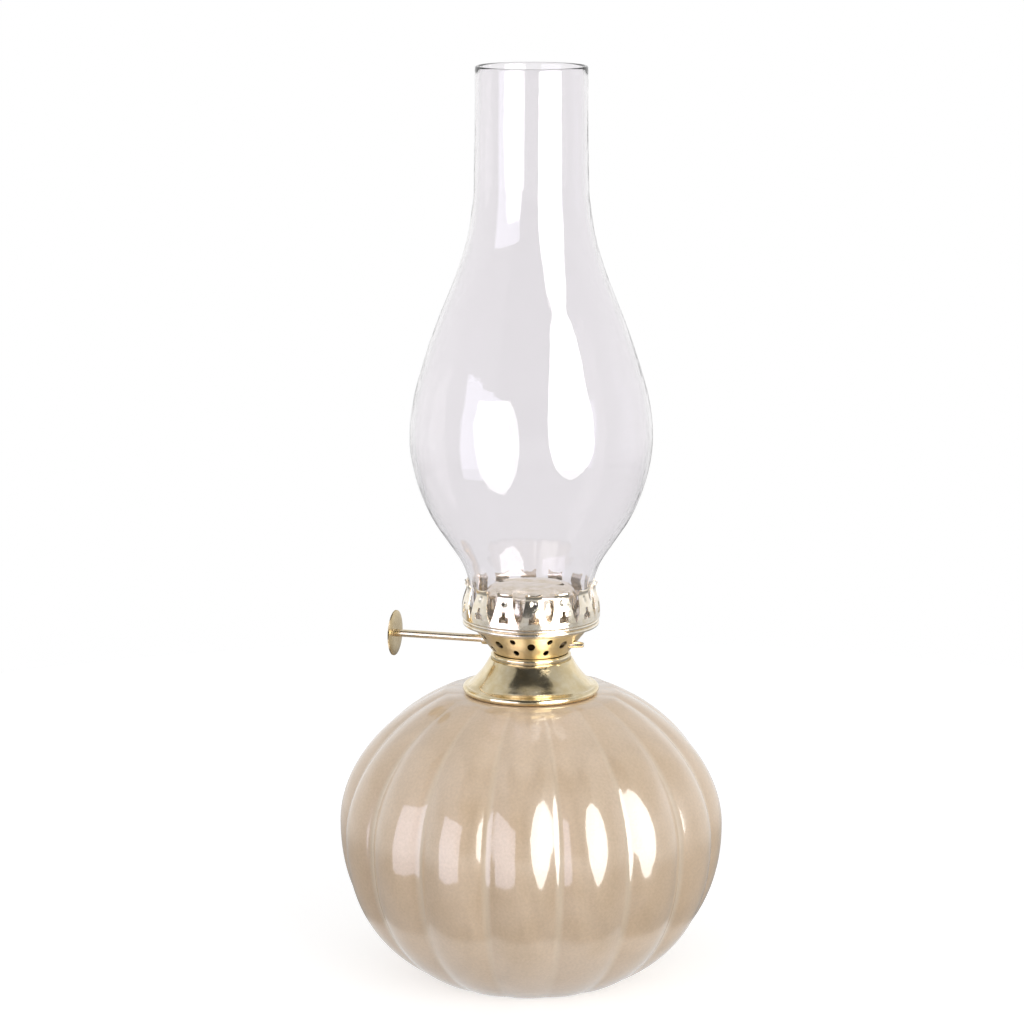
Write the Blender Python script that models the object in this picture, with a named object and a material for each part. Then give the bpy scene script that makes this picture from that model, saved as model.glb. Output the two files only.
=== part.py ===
"""A table lamp that burns lamp oil on a flat wick.

A ribbed glass font holds the oil. A brass collar is set on its neck in plaster. The burner screws into
the collar, a spindle with three spurred wheels winds the wick up and down inside it, and a crown of
springy prongs on the gallery holds the glass chimney. The dome inside the crown has the flame slot.

The lamp stands on z = 0 with its axis on Z. Its front is towards -Y. All lengths are in metres.
"""

import math

import bmesh
import bpy
from mathutils import Matrix, Vector

# Gaps and sheet metal
CLEARANCE = 0.0003
RUNNING_GAP = 0.00035
SHEET = 0.0005
OVERRUN = 0.002

# Font: the ribbed oil reservoir
FONT_RADIUS = 0.0803
FONT_FOOT_RADIUS = 0.0418
FONT_WAIST_HEIGHT = 0.064
FONT_SHOULDER_RADIUS = 0.0363
FONT_SHOULDER_HEIGHT = 0.1202
FONT_WALL = 0.003
FONT_FLOOR = 0.0045
FONT_RECESS_RADIUS = 0.031
FONT_RECESS_DEPTH = 0.0015
FONT_NECK_RADIUS = 0.0196
FONT_NECK_HEIGHT = 0.0073
FONT_LOBES = 16
FONT_VALLEY_TURN = math.radians(8.5)
LOBE_DEPTH_SHARE = 0.062
LOBE_FOOT_SHARE = 0.4
LOBE_SHOULDER_SHARE = 0.45
LOWER_ROUNDNESS = 2.2
UPPER_ROUNDNESS = 1.9
FONT_BORE_WALL = 0.0025
QUARTER_STEPS = 6
LOBE_STEPS = 4

# Collar: brass cone with a rolled foot
COLLAR_ROLL_RADIUS = 0.0285
COLLAR_ROLL_THICKNESS = 0.003
COLLAR_STEP_RADIUS = 0.0264
COLLAR_CONE_RADIUS = 0.0245
COLLAR_TOP_RADIUS = 0.0174
COLLAR_CONE_HEIGHT = 0.0098
COLLAR_STEP_HEIGHT = 0.0014
COLLAR_SHEET = 0.0006

# Screw thread between the collar and the burner
THREAD_RADIUS = 0.01455
THREAD_DEPTH = 0.0009
THREAD_PITCH = 0.0024
THREAD_LENGTH = 0.0067
THREAD_GAP = 0.0004
THREAD_RING_RADIUS = 0.0166
SCREW_RING_BORE = 0.0135
THREAD_ROWS_PER_TURN = 5
THREAD_FADE_ROWS = 3

# Seat bead under the air basket
SEAT_BEAD_RADIUS = 0.0163
SEAT_BEAD_HEIGHT = 0.0022

# Air basket: perforated cone
BASKET_FOOT_RADIUS = 0.0155
BASKET_LIP_RADIUS = 0.0246
BASKET_CONE_HEIGHT = 0.0112
BASKET_LIP_HEIGHT = 0.0039
BASKET_SECTORS = 9
BIG_HOLE_DIAMETER = 0.003
SMALL_HOLE_DIAMETER = 0.0021
BIG_HOLE_SHARE = 0.55
LOW_HOLE_SHARE = 0.26
HIGH_HOLE_SHARE = 0.76
HOLE_STRETCH_SHARE = 1.4
HOLE_SIDES = 8

# Burner inside: floor, wick tube, vent tube, wheel cover
WICK_YAW = math.radians(16)
WICK_WIDTH = 0.022
WICK_THICKNESS = 0.0024
WICK_SHOW = 0.0007
WICK_ABOVE_FONT_FLOOR = 0.0175
WICK_GAP = 0.0004
TUBE_WALL = 0.0006
TUBE_BELOW_DOME = 0.0048
TUBE_DROP = 0.0165
VENT_RADIUS = 0.0013
VENT_BORE = 0.0008
VENT_OFFSET = 0.005
VENT_DROP = 0.009
VENT_RISE = 0.0095
COVER_HALF_LENGTH = 0.01
COVER_GAP = 0.0003

# Spindle, its wheels and its knob
SPINDLE_OFFSET = 0.005
SPINDLE_DIAMETER = 0.0031
SPINDLE_FAR_END = 0.024
SPINDLE_NOSE = 0.005
KNOB_REACH = 0.057
KNOB_DIAMETER = 0.019
KNOB_THICKNESS = 0.0016
KNOB_NOTCH_DEPTH = 0.00025
KNOB_NOTCHES = 30
RIVET_DIAMETER = 0.0044
RIVET_HEIGHT = 0.0007
BUSH_DIAMETER = 0.0047
BUSH_FRONT = 0.0197
BUSH_LENGTH = 0.0037
WHEEL_SPACING = 0.0065
WHEEL_THICKNESS = 0.001
WHEEL_TEETH = 10
WHEEL_TOOTH_DEPTH = 0.0009
WHEEL_BITE_GAP = 0.00025
WINDOW_SIDE_GAP = 0.0004

# Gallery: rim, floor, crown of prongs and flame dome
RIM_RADIUS = 0.0285
RIM_HEIGHT = 0.0033
CROWN_HEIGHT = 0.0148
CROWN_ROOT_RADIUS = 0.0283
CROWN_TIP_FLARE = 0.001
PRONGS = 14
PRONG_TURN = math.radians(2.1)
FLOOR_HOLES = 18
FLOOR_HOLE_DIAMETER = 0.0018
FLOOR_HOLE_SIDES = 6
DOME_RADIUS = 0.0192
DOME_FLANGE = 0.0024
DOME_HEIGHT = 0.0154
SLOT_LENGTH = 0.028
SLOT_WIDTH = 0.006

# Chimney
CHIMNEY_WALL = 0.0016
CHIMNEY_FOOT_RADIUS = 0.0256
CHIMNEY_FOOT_HEIGHT = 0.0125
CHIMNEY_BELLY_RADIUS = 0.0501
CHIMNEY_BELLY_RISE = 0.062
CHIMNEY_SHOULDER_RADIUS = 0.0234
CHIMNEY_SHOULDER_RISE = 0.1065
CHIMNEY_TOP_RADIUS = 0.0229
CHIMNEY_FLUE_LENGTH = 0.0453

# Counts of sides on round pieces
ROUND_SIDES = 32
SMALL_SIDES = 12
THREAD_SIDES = 24

# Points nearer than this become one
MERGE_DISTANCE = 0.0000005

# Heights that stack up from the font's shoulder to the chimney's foot
NECK_TOP = FONT_SHOULDER_HEIGHT + FONT_NECK_HEIGHT
ROLL_FOOT = FONT_SHOULDER_HEIGHT + CLEARANCE
ROLL_TOP = ROLL_FOOT + COLLAR_ROLL_THICKNESS
CONE_FOOT = ROLL_TOP + COLLAR_STEP_HEIGHT
COLLAR_TOP = CONE_FOOT + COLLAR_CONE_HEIGHT
SEAT_FOOT = COLLAR_TOP + CLEARANCE
SEAT_TOP = SEAT_FOOT + SEAT_BEAD_HEIGHT
BASKET_FOOT = SEAT_TOP + CLEARANCE
BASKET_LIP = BASKET_FOOT + BASKET_CONE_HEIGHT
BASKET_TOP = BASKET_LIP + BASKET_LIP_HEIGHT
GALLERY_FLOOR = BASKET_TOP + CLEARANCE
CHIMNEY_FOOT = GALLERY_FLOOR + SHEET + CLEARANCE
FLANGE_TOP = GALLERY_FLOOR - CLEARANCE
CHIMNEY_WAIST = CHIMNEY_FOOT + CHIMNEY_FOOT_HEIGHT
CHIMNEY_BELLY = CHIMNEY_WAIST + CHIMNEY_BELLY_RISE
CHIMNEY_TOP = CHIMNEY_BELLY + CHIMNEY_SHOULDER_RISE + CHIMNEY_FLUE_LENGTH
DOME_TOP = GALLERY_FLOOR + DOME_HEIGHT
TUBE_TOP = DOME_TOP - TUBE_BELOW_DOME
TUBE_FOOT = BASKET_FOOT - TUBE_DROP
WICK_TOP = TUBE_TOP + WICK_SHOW
WICK_FOOT = FONT_FLOOR + WICK_ABOVE_FONT_FLOOR
WHEEL_RADIUS = SPINDLE_OFFSET - WICK_THICKNESS / 2 - WHEEL_BITE_GAP
COVER_FOOT = BASKET_FOOT + SHEET + CLEARANCE
SPINDLE_HEIGHT = COVER_FOOT + SHEET + COVER_GAP + WHEEL_RADIUS
TUBE_WIDTH = WICK_WIDTH + 2 * (WICK_GAP + TUBE_WALL)
TUBE_THICKNESS = WICK_THICKNESS + 2 * (WICK_GAP + TUBE_WALL)

for old in list(bpy.data.objects):
    bpy.data.objects.remove(old, do_unlink=True)


def finish(name, colour, roughness, metallic=0.0, transmission=0.0):
    """A Principled material."""
    made = bpy.data.materials.new(name)
    made.use_nodes = True
    shader = made.node_tree.nodes["Principled BSDF"]
    shader.inputs["Base Color"].default_value = (*colour, 1.0)
    shader.inputs["Roughness"].default_value = roughness
    shader.inputs["Metallic"].default_value = metallic
    shader.inputs["Transmission Weight"].default_value = transmission
    return made


def empty(name, parent=None, location=(0, 0, 0), rotation=(0, 0, 0)):
    """An axis that pieces are carried on."""
    made = bpy.data.objects.new(name, None)
    bpy.context.scene.collection.objects.link(made)
    made.parent = parent
    made.location = location
    made.rotation_euler = rotation
    return made


def place(name, shape, material, parent):
    """Makes an object of a bmesh, with its faces out and its round sides shaded smooth."""
    bmesh.ops.recalc_face_normals(shape, faces=shape.faces)
    mesh = bpy.data.meshes.new(name)
    shape.to_mesh(mesh)
    shape.free()
    mesh.shade_smooth()
    mesh.set_sharp_from_angle(angle=math.radians(35))
    if material:
        mesh.materials.append(material)
    made = bpy.data.objects.new(name, mesh)
    bpy.context.scene.collection.objects.link(made)
    made.parent = parent
    return made


def turned(outline, sides=ROUND_SIDES):
    """Spins a closed outline of (radius, height) points about Z."""
    shape = bmesh.new()
    corners = [shape.verts.new((radius, 0, height)) for radius, height in outline]
    edges = [shape.edges.new((a, b)) for a, b in zip(corners, corners[1:] + corners[:1])]
    bmesh.ops.spin(
        shape,
        geom=corners + edges,
        cent=(0, 0, 0),
        axis=(0, 0, 1),
        angle=math.tau,
        steps=sides,
        use_merge=True,
    )
    bmesh.ops.remove_doubles(shape, verts=shape.verts, dist=MERGE_DISTANCE)
    return shape


def looped(columns):
    """Joins closed columns of points, each to the next and the last to the first."""
    shape = bmesh.new()
    rows = [[shape.verts.new(point) for point in column] for column in columns]
    for here, there in zip(rows, rows[1:] + rows[:1]):
        for i in range(len(here)):
            j = (i + 1) % len(here)
            shape.faces.new((here[i], here[j], there[j], there[i]))
    return shape


def stacked(rings):
    """Joins rings of points from the first to the last, and closes both ends."""
    shape = bmesh.new()
    rows = [[shape.verts.new(point) for point in ring] for ring in rings]
    for here, there in zip(rows, rows[1:]):
        for i in range(len(here)):
            j = (i + 1) % len(here)
            shape.faces.new((here[i], here[j], there[j], there[i]))
    shape.faces.new(rows[0])
    shape.faces.new(rows[-1])
    return shape


def circle(radius, height, sides=SMALL_SIDES):
    """Points of a level circle."""
    return [
        (radius * math.cos(math.tau * i / sides), radius * math.sin(math.tau * i / sides), height)
        for i in range(sides)
    ]


def stadium(width, thickness, corner_steps=4):
    """Points of a level strip with half-round ends, long along X."""
    radius = thickness / 2
    points = []
    for side in (1, -1):
        for i in range(corner_steps + 1):
            angle = math.pi * (i / corner_steps - 0.5)
            points.append(
                (
                    side * (width / 2 - radius + radius * math.cos(angle)),
                    side * radius * math.sin(angle),
                )
            )
    return points


def arc(centre, radius, start, end, steps):
    """Points of an arc in (radius, height), with its angles in degrees."""
    turns = [math.radians(start + (end - start) * i / steps) for i in range(steps + 1)]
    return [(centre[0] + radius * math.cos(a), centre[1] + radius * math.sin(a)) for a in turns]


def inset(line, depth):
    """The line of (radius, height) points moved square to itself by the depth, towards its left side."""
    moved = []
    for i, point in enumerate(line):
        before = line[max(i - 1, 0)]
        after = line[min(i + 1, len(line) - 1)]
        run = Vector((after[0] - before[0], after[1] - before[1])).normalized()
        moved.append((point[0] - run.y * depth, point[1] + run.x * depth))
    return moved


def cutter(name, shape, parent):
    """A helper that only cuts."""
    made = place(name, shape, None, parent)
    made.hide_render = True
    made.display_type = "WIRE"
    return made


def cut(piece, tool):
    """Takes the tool's space out of the piece."""
    step = piece.modifiers.new("cut_" + tool.name, "BOOLEAN")
    step.operation = "DIFFERENCE"
    step.solver = "EXACT"
    step.object = tool


def joined(shapes):
    """One bmesh of several."""
    whole = bmesh.new()
    for shape in shapes:
        held = bpy.data.meshes.new("held")
        shape.to_mesh(held)
        shape.free()
        whole.from_mesh(held)
        bpy.data.meshes.remove(held)
    return whole


def rod(radius, length, sides=SMALL_SIDES, matrix=None):
    """A closed cylinder along Z, centred on the origin, or where the matrix puts it."""
    shape = stacked([circle(radius, -length / 2, sides), circle(radius, length / 2, sides)])
    bmesh.ops.recalc_face_normals(shape, faces=shape.faces)
    if matrix:
        bmesh.ops.transform(shape, matrix=matrix, verts=shape.verts)
    return shape


font_glass_finish = finish("champagne_glass", (0.58, 0.45, 0.34), 0.12, transmission=0.25)
clear_glass_finish = finish("clear_glass", (0.95, 0.95, 0.96), 0.02, transmission=1.0)
brass_finish = finish("polished_brass", (0.78, 0.66, 0.40), 0.18, metallic=1.0)
plaster_finish = finish("plaster", (0.80, 0.77, 0.70), 0.9)
wick_finish = finish("woven_cotton", (0.86, 0.83, 0.75), 0.95)

burner_axis = empty("burner_axis")
wick_plane = empty("wick_plane", burner_axis, rotation=(0, 0, -WICK_YAW))
spindle_axis = empty(
    "spindle_axis",
    wick_plane,
    location=(0, -SPINDLE_OFFSET, SPINDLE_HEIGHT),
    rotation=(0, math.pi / 2, 0),
)
gallery_axis = empty("gallery_axis", burner_axis)
chimney_axis = empty("chimney_axis", gallery_axis)


def quarter(reach, rise, roundness, end_angle):
    """Points of a rounded quarter, from its widest point to the end angle, as (radius, height)."""
    points = []
    for i in range(QUARTER_STEPS + 1):
        angle = end_angle * i / QUARTER_STEPS
        points.append(
            (
                reach * math.cos(angle) ** (2 / roundness),
                rise * math.sin(angle) ** (2 / roundness),
            )
        )
    return points


def pinch_share(angle, height):
    """How far the font's side is drawn in: nothing on a lobe's crest, most in a valley at the waist."""
    across = (angle * FONT_LOBES / math.pi + 1) % 2 - 1
    if height < FONT_WAIST_HEIGHT:
        end_share = LOBE_FOOT_SHARE
        away = 1 - height / FONT_WAIST_HEIGHT
    else:
        end_share = LOBE_SHOULDER_SHARE
        away = (height - FONT_WAIST_HEIGHT) / (FONT_SHOULDER_HEIGHT - FONT_WAIST_HEIGHT)
    return LOBE_DEPTH_SHARE * across**2 * (1 - (1 - end_share) * min(1, away) ** 2)


def font_glass():
    """Melon-shaped glass with pinched valleys between its lobes, a hollow inside and a short neck."""
    foot_share = FONT_FOOT_RADIUS / FONT_RADIUS
    lower_rise = FONT_WAIST_HEIGHT / (1 - foot_share**LOWER_ROUNDNESS) ** (1 / LOWER_ROUNDNESS)
    foot_angle = math.acos(foot_share ** (LOWER_ROUNDNESS / 2))
    shoulder_share = FONT_SHOULDER_RADIUS / FONT_RADIUS
    shoulder_rise = FONT_SHOULDER_HEIGHT - FONT_WAIST_HEIGHT
    upper_rise = shoulder_rise / (1 - shoulder_share**UPPER_ROUNDNESS) ** (1 / UPPER_ROUNDNESS)
    shoulder_angle = math.acos(shoulder_share ** (UPPER_ROUNDNESS / 2))
    lower = quarter(FONT_RADIUS, -lower_rise, LOWER_ROUNDNESS, foot_angle)
    upper = quarter(FONT_RADIUS, upper_rise, UPPER_ROUNDNESS, shoulder_angle)
    belly = [(r, FONT_WAIST_HEIGHT + z) for r, z in reversed(lower)]
    belly += [(r, FONT_WAIST_HEIGHT + z) for r, z in upper[1:]]
    hollow = inset(belly, FONT_WALL)[::2]
    hollow[0] = (hollow[0][0], FONT_FLOOR)
    bore = FONT_NECK_RADIUS - FONT_BORE_WALL
    ceiling = FONT_SHOULDER_HEIGHT - FONT_WALL
    hollow[-1] = (hollow[-1][0], ceiling)
    lobed = belly + [
        (FONT_NECK_RADIUS + FONT_WALL, FONT_SHOULDER_HEIGHT),
        (FONT_NECK_RADIUS, FONT_SHOULDER_HEIGHT + FONT_WALL / 4),
        (FONT_NECK_RADIUS, NECK_TOP),
        (bore, NECK_TOP),
        (bore, ceiling),
    ]
    lobed += hollow[::-1]
    lobed += [
        (FONT_RECESS_RADIUS, FONT_FLOOR),
        (FONT_RECESS_RADIUS / 3, FONT_FLOOR),
        (0, FONT_FLOOR),
        (0, FONT_RECESS_DEPTH),
        (FONT_RECESS_RADIUS / 2, FONT_RECESS_DEPTH * 3 / 4),
        (FONT_RECESS_RADIUS, 0),
    ]
    plain_inside = max(FONT_RECESS_RADIUS, FONT_NECK_RADIUS + FONT_WALL)
    columns = []
    steps = FONT_LOBES * LOBE_STEPS
    for i in range(steps):
        angle = math.tau * i / steps
        column = []
        for radius, height in lobed:
            pinch = pinch_share(angle, height) if radius > plain_inside else 0
            reach = radius * (1 - pinch)
            turn = angle + math.pi / FONT_LOBES + FONT_VALLEY_TURN - math.pi / 2
            column.append((reach * math.cos(turn), reach * math.sin(turn), height))
        columns.append(column)
    shape = looped(columns)
    bmesh.ops.remove_doubles(shape, verts=shape.verts, dist=MERGE_DISTANCE)
    return place("font_glass", shape, font_glass_finish, None)


def cone_radius(height):
    """Outer radius of the collar's cone at a height."""
    share = (COLLAR_TOP - height) / COLLAR_CONE_HEIGHT
    return COLLAR_TOP_RADIUS + share * (COLLAR_CONE_RADIUS - COLLAR_TOP_RADIUS)


def collar():
    """Brass cone whose foot is rolled outwards, and the plaster inside it that holds it to the glass."""
    roll = COLLAR_ROLL_THICKNESS / 2
    roll_centre = (COLLAR_ROLL_RADIUS - roll, ROLL_FOOT + roll)
    wall = COLLAR_SHEET
    outline = [
        (COLLAR_TOP_RADIUS, COLLAR_TOP),
        (COLLAR_CONE_RADIUS, CONE_FOOT),
        (COLLAR_STEP_RADIUS, ROLL_TOP),
        *arc(roll_centre, roll, 80, -90, 5),
        (roll_centre[0] - roll / 2, ROLL_FOOT),
        (COLLAR_STEP_RADIUS - wall, ROLL_TOP - SHEET),
        (COLLAR_CONE_RADIUS - wall, CONE_FOOT - SHEET),
        (COLLAR_TOP_RADIUS - wall, COLLAR_TOP - SHEET),
        (COLLAR_TOP_RADIUS - wall, COLLAR_TOP),
    ]
    place("collar_cone", turned(outline), brass_finish, None)

    slope_gap = wall + 2 * CLEARANCE
    plaster_bore = THREAD_RING_RADIUS + CLEARANCE
    plaster_top = COLLAR_TOP - 4 * SHEET
    neck_gap = FONT_NECK_RADIUS + CLEARANCE
    plaster_foot = FONT_SHOULDER_HEIGHT + 3 * SHEET
    outline = [
        (cone_radius(plaster_top) - slope_gap, plaster_top),
        (cone_radius(NECK_TOP) - slope_gap, NECK_TOP),
        (cone_radius(CONE_FOOT) - slope_gap, CONE_FOOT - CLEARANCE),
        (COLLAR_CONE_RADIUS - CLEARANCE, ROLL_TOP - 2 * SHEET),
        (COLLAR_CONE_RADIUS - CLEARANCE, plaster_foot),
        (neck_gap, plaster_foot),
        (neck_gap, NECK_TOP + CLEARANCE),
        (plaster_bore, NECK_TOP + CLEARANCE),
        (plaster_bore, plaster_top),
    ]
    place("collar_plaster", turned(outline, THREAD_SIDES), plaster_finish, None)


def thread_column(turn, foot, length, wall_side, inside):
    """One column of a threaded ring, in (radius, height): the thread, then the plain wall."""
    swing = THREAD_DEPTH / 2
    rows = math.ceil(length / THREAD_PITCH * THREAD_ROWS_PER_TURN)
    column = []
    for i in range(rows + 1):
        share = i / rows
        height = foot + length * share
        fade = min(1, share * rows / THREAD_FADE_ROWS, (1 - share) * rows / THREAD_FADE_ROWS)
        wave = math.cos(math.tau * height / THREAD_PITCH - turn)
        if inside:
            radius = THREAD_RADIUS + THREAD_GAP + swing - fade * swing * (1 - wave)
        else:
            radius = THREAD_RADIUS - swing + fade * swing * (1 + wave)
        column.append((radius, height))
    return column + wall_side


def threaded(name, foot, length, wall_side, inside, parent):
    """A ring with a right-hand thread, rolled round like the thread of a bulb."""
    columns = []
    for i in range(THREAD_SIDES):
        turn = math.tau * i / THREAD_SIDES
        points = thread_column(turn, foot, length, wall_side, inside)
        columns.append([(r * math.cos(turn), r * math.sin(turn), z) for r, z in points])
    return place(name, looped(columns), brass_finish, parent)


def thread_rings():
    """The collar's inside thread and the burner's outside thread, which fits it with an even gap."""
    foot = COLLAR_TOP - THREAD_LENGTH
    threaded(
        "collar_thread_ring",
        foot,
        THREAD_LENGTH,
        [(THREAD_RING_RADIUS, COLLAR_TOP), (THREAD_RING_RADIUS, foot)],
        True,
        None,
    )
    threaded(
        "burner_screw_ring",
        foot - THREAD_PITCH / 3,
        THREAD_LENGTH,
        [
            (THREAD_RADIUS - THREAD_DEPTH / 2, SEAT_TOP),
            (SCREW_RING_BORE, SEAT_TOP),
            (SCREW_RING_BORE, foot - THREAD_PITCH / 3),
        ],
        False,
        burner_axis,
    )


def seat_bead():
    """Rounded ring that the burner seats with on the collar."""
    roll = SEAT_BEAD_HEIGHT / 2
    bore = THREAD_RADIUS - THREAD_DEPTH / 2 + CLEARANCE
    middle = (SEAT_BEAD_RADIUS - roll, SEAT_FOOT + roll)
    outline = [(bore, SEAT_TOP), *arc(middle, roll, 90, -90, 4), (bore, SEAT_FOOT)]
    place("burner_seat_bead", turned(outline), brass_finish, burner_axis)


def basket_radius(height):
    """Outer radius of the air basket's cone at a height."""
    share = (height - BASKET_FOOT) / BASKET_CONE_HEIGHT
    return BASKET_FOOT_RADIUS + share * (BASKET_LIP_RADIUS - BASKET_FOOT_RADIUS)


def basket_hole(sector, height_share, diameter):
    """A cutter square to the cone's wall, or nothing where the spindle passes."""
    azimuth = math.tau * sector / BASKET_SECTORS - math.pi / 2
    height = BASKET_FOOT + height_share * BASKET_CONE_HEIGHT
    radius = basket_radius(height)
    middle = Vector((radius * math.cos(azimuth), radius * math.sin(azimuth), height))
    along = Vector((math.cos(WICK_YAW), -math.sin(WICK_YAW), 0))
    start = Matrix.Rotation(-WICK_YAW, 3, "Z") @ Vector((0, -SPINDLE_OFFSET, SPINDLE_HEIGHT))
    off_line = (middle - start).cross(along).length
    if off_line < (BUSH_DIAMETER + diameter * HOLE_STRETCH_SHARE) / 2 + SHEET:
        return None
    slope = math.atan2(BASKET_LIP_RADIUS - BASKET_FOOT_RADIUS, BASKET_CONE_HEIGHT)
    turn = Matrix.Rotation(azimuth, 4, "Z") @ Matrix.Rotation(math.pi / 2 + slope, 4, "Y")
    stretch = Matrix.Diagonal((HOLE_STRETCH_SHARE, 1, 1, 1))
    return rod(diameter / 2, 2 * OVERRUN, HOLE_SIDES, Matrix.Translation(middle) @ turn @ stretch)


def spindle_tunnel(name, radius, middle, length):
    """A cutter along the spindle."""
    shape = rod(radius, length)
    bmesh.ops.translate(shape, verts=shape.verts, vec=(0, 0, middle))
    return cutter(name, shape, spindle_axis)


def air_basket():
    """Cone of sheet brass with three rows of air holes and an upright lip."""
    outer = [
        (BASKET_FOOT_RADIUS, BASKET_FOOT),
        (BASKET_LIP_RADIUS, BASKET_LIP),
        (BASKET_LIP_RADIUS, BASKET_TOP),
    ]
    inner = [
        (BASKET_LIP_RADIUS - SHEET, BASKET_TOP),
        (BASKET_LIP_RADIUS - SHEET, BASKET_LIP + SHEET / 3),
        (BASKET_FOOT_RADIUS - COLLAR_SHEET, BASKET_FOOT),
    ]
    basket = place("air_basket", turned(outer + inner), brass_finish, burner_axis)
    holes = []
    for sector in range(BASKET_SECTORS):
        holes.append(basket_hole(sector, BIG_HOLE_SHARE, BIG_HOLE_DIAMETER))
        holes.append(basket_hole(sector + 0.5, LOW_HOLE_SHARE, SMALL_HOLE_DIAMETER))
        holes.append(basket_hole(sector + 0.5, HIGH_HOLE_SHARE, SMALL_HOLE_DIAMETER))
    cut(basket, cutter("air_holes", joined([hole for hole in holes if hole]), burner_axis))
    bush_hole = BUSH_DIAMETER / 2 + CLEARANCE
    cut(basket, spindle_tunnel("bush_hole", bush_hole, -BUSH_FRONT, 2 * BUSH_LENGTH))
    end_hole = SPINDLE_DIAMETER / 2 + RUNNING_GAP
    cut(basket, spindle_tunnel("spindle_end_hole", end_hole, BUSH_FRONT, 2 * BUSH_LENGTH))


def slot_columns(width, thickness, wall, foot, top):
    """Columns of a flat tube with round ends."""
    outer = stadium(width, thickness)
    inner = stadium(width - 2 * wall, thickness - 2 * wall)
    return [
        [(*far, foot), (*far, top), (*near, top), (*near, foot)] for far, near in zip(outer, inner)
    ]


def burner_inside():
    """Floor, wick tube, vent tube and the cover over the wheels."""
    floor_radius = BASKET_FOOT_RADIUS - COLLAR_SHEET - CLEARANCE
    outline = [
        (0, BASKET_FOOT),
        (floor_radius, BASKET_FOOT),
        (floor_radius, BASKET_FOOT + SHEET),
        (0, BASKET_FOOT + SHEET),
    ]
    floor = place("burner_floor", turned(outline), brass_finish, wick_plane)
    opening = stadium(TUBE_WIDTH + 2 * CLEARANCE, TUBE_THICKNESS + 2 * CLEARANCE)
    low = BASKET_FOOT - OVERRUN
    high = BASKET_FOOT + OVERRUN
    hole = stacked([[(x, y, low) for x, y in opening], [(x, y, high) for x, y in opening]])
    cut(floor, cutter("wick_tube_hole", hole, wick_plane))
    vent_place = Matrix.Translation((0, VENT_OFFSET, BASKET_FOOT))
    vent_hole = rod(VENT_RADIUS + CLEARANCE, 2 * OVERRUN, matrix=vent_place)
    cut(floor, cutter("vent_hole", vent_hole, wick_plane))

    tube_shape = looped(slot_columns(TUBE_WIDTH, TUBE_THICKNESS, TUBE_WALL, TUBE_FOOT, TUBE_TOP))
    tube = place("wick_tube", tube_shape, brass_finish, wick_plane)
    window_height = 2 * (WHEEL_RADIUS + CLEARANCE)
    window_width = WHEEL_THICKNESS + 2 * WINDOW_SIDE_GAP
    windows = []
    for side in (-1, 0, 1):
        window = bmesh.new()
        bmesh.ops.create_cube(window, size=1)
        bmesh.ops.scale(window, verts=window.verts, vec=(window_width, TUBE_THICKNESS / 2, window_height))
        middle = (side * WHEEL_SPACING, -TUBE_THICKNESS / 2, SPINDLE_HEIGHT)
        bmesh.ops.translate(window, verts=window.verts, vec=middle)
        windows.append(window)
    cut(tube, cutter("wheel_windows", joined(windows), wick_plane))

    columns = []
    for far, near in zip(circle(VENT_RADIUS, 0), circle(VENT_BORE, 0)):
        ends = (BASKET_FOOT - VENT_DROP, BASKET_FOOT + VENT_RISE)
        outside = [(far[0], far[1] + VENT_OFFSET, z) for z in ends]
        inside = [(near[0], near[1] + VENT_OFFSET, z) for z in reversed(ends)]
        columns.append(outside + inside)
    place("vent_tube", looped(columns), brass_finish, wick_plane)

    reach = WHEEL_RADIUS + COVER_GAP
    back = -(TUBE_THICKNESS / 2 + CLEARANCE)
    front = -(SPINDLE_OFFSET + reach)
    shell = bmesh.new()
    bmesh.ops.create_cube(shell, size=1)
    lengths = (2 * COVER_HALF_LENGTH, back - front + SHEET, 2 * (reach + SHEET))
    bmesh.ops.scale(shell, verts=shell.verts, vec=lengths)
    centre = (0, (back + front - SHEET) / 2, SPINDLE_HEIGHT)
    bmesh.ops.translate(shell, verts=shell.verts, vec=centre)
    cover = place("wheel_cover", shell, brass_finish, wick_plane)
    room = bmesh.new()
    bmesh.ops.create_cube(room, size=1)
    lengths = (2 * (COVER_HALF_LENGTH - SHEET), back - front + OVERRUN, 2 * reach)
    bmesh.ops.scale(room, verts=room.verts, vec=lengths)
    centre = (0, (back + OVERRUN + front) / 2, SPINDLE_HEIGHT)
    bmesh.ops.translate(room, verts=room.verts, vec=centre)
    cut(cover, cutter("wheel_room", room, wick_plane))
    tunnel = SPINDLE_DIAMETER / 2 + RUNNING_GAP
    cut(cover, spindle_tunnel("cover_tunnel", tunnel, 0, 3 * COVER_HALF_LENGTH))

    columns = []
    bore = SPINDLE_DIAMETER / 2 + RUNNING_GAP
    for far, near in zip(circle(BUSH_DIAMETER / 2, 0), circle(bore, 0)):
        ends = (-BUSH_FRONT, -BUSH_FRONT + BUSH_LENGTH)
        outside = [(far[0], far[1], z) for z in ends]
        inside = [(near[0], near[1], z) for z in reversed(ends)]
        columns.append(outside + inside)
    place("spindle_bush", looped(columns), brass_finish, spindle_axis)


def toothed(radius, depth, teeth, bore, foot, top):
    """Columns of a wheel with pointed teeth and a bore."""
    columns = []
    for i in range(2 * teeth):
        angle = math.tau * i / (2 * teeth)
        reach = radius - depth * (i % 2)
        far = (reach * math.cos(angle), reach * math.sin(angle))
        near = (bore * math.cos(angle), bore * math.sin(angle))
        columns.append([(*far, foot), (*far, top), (*near, top), (*near, foot)])
    return columns


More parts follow.
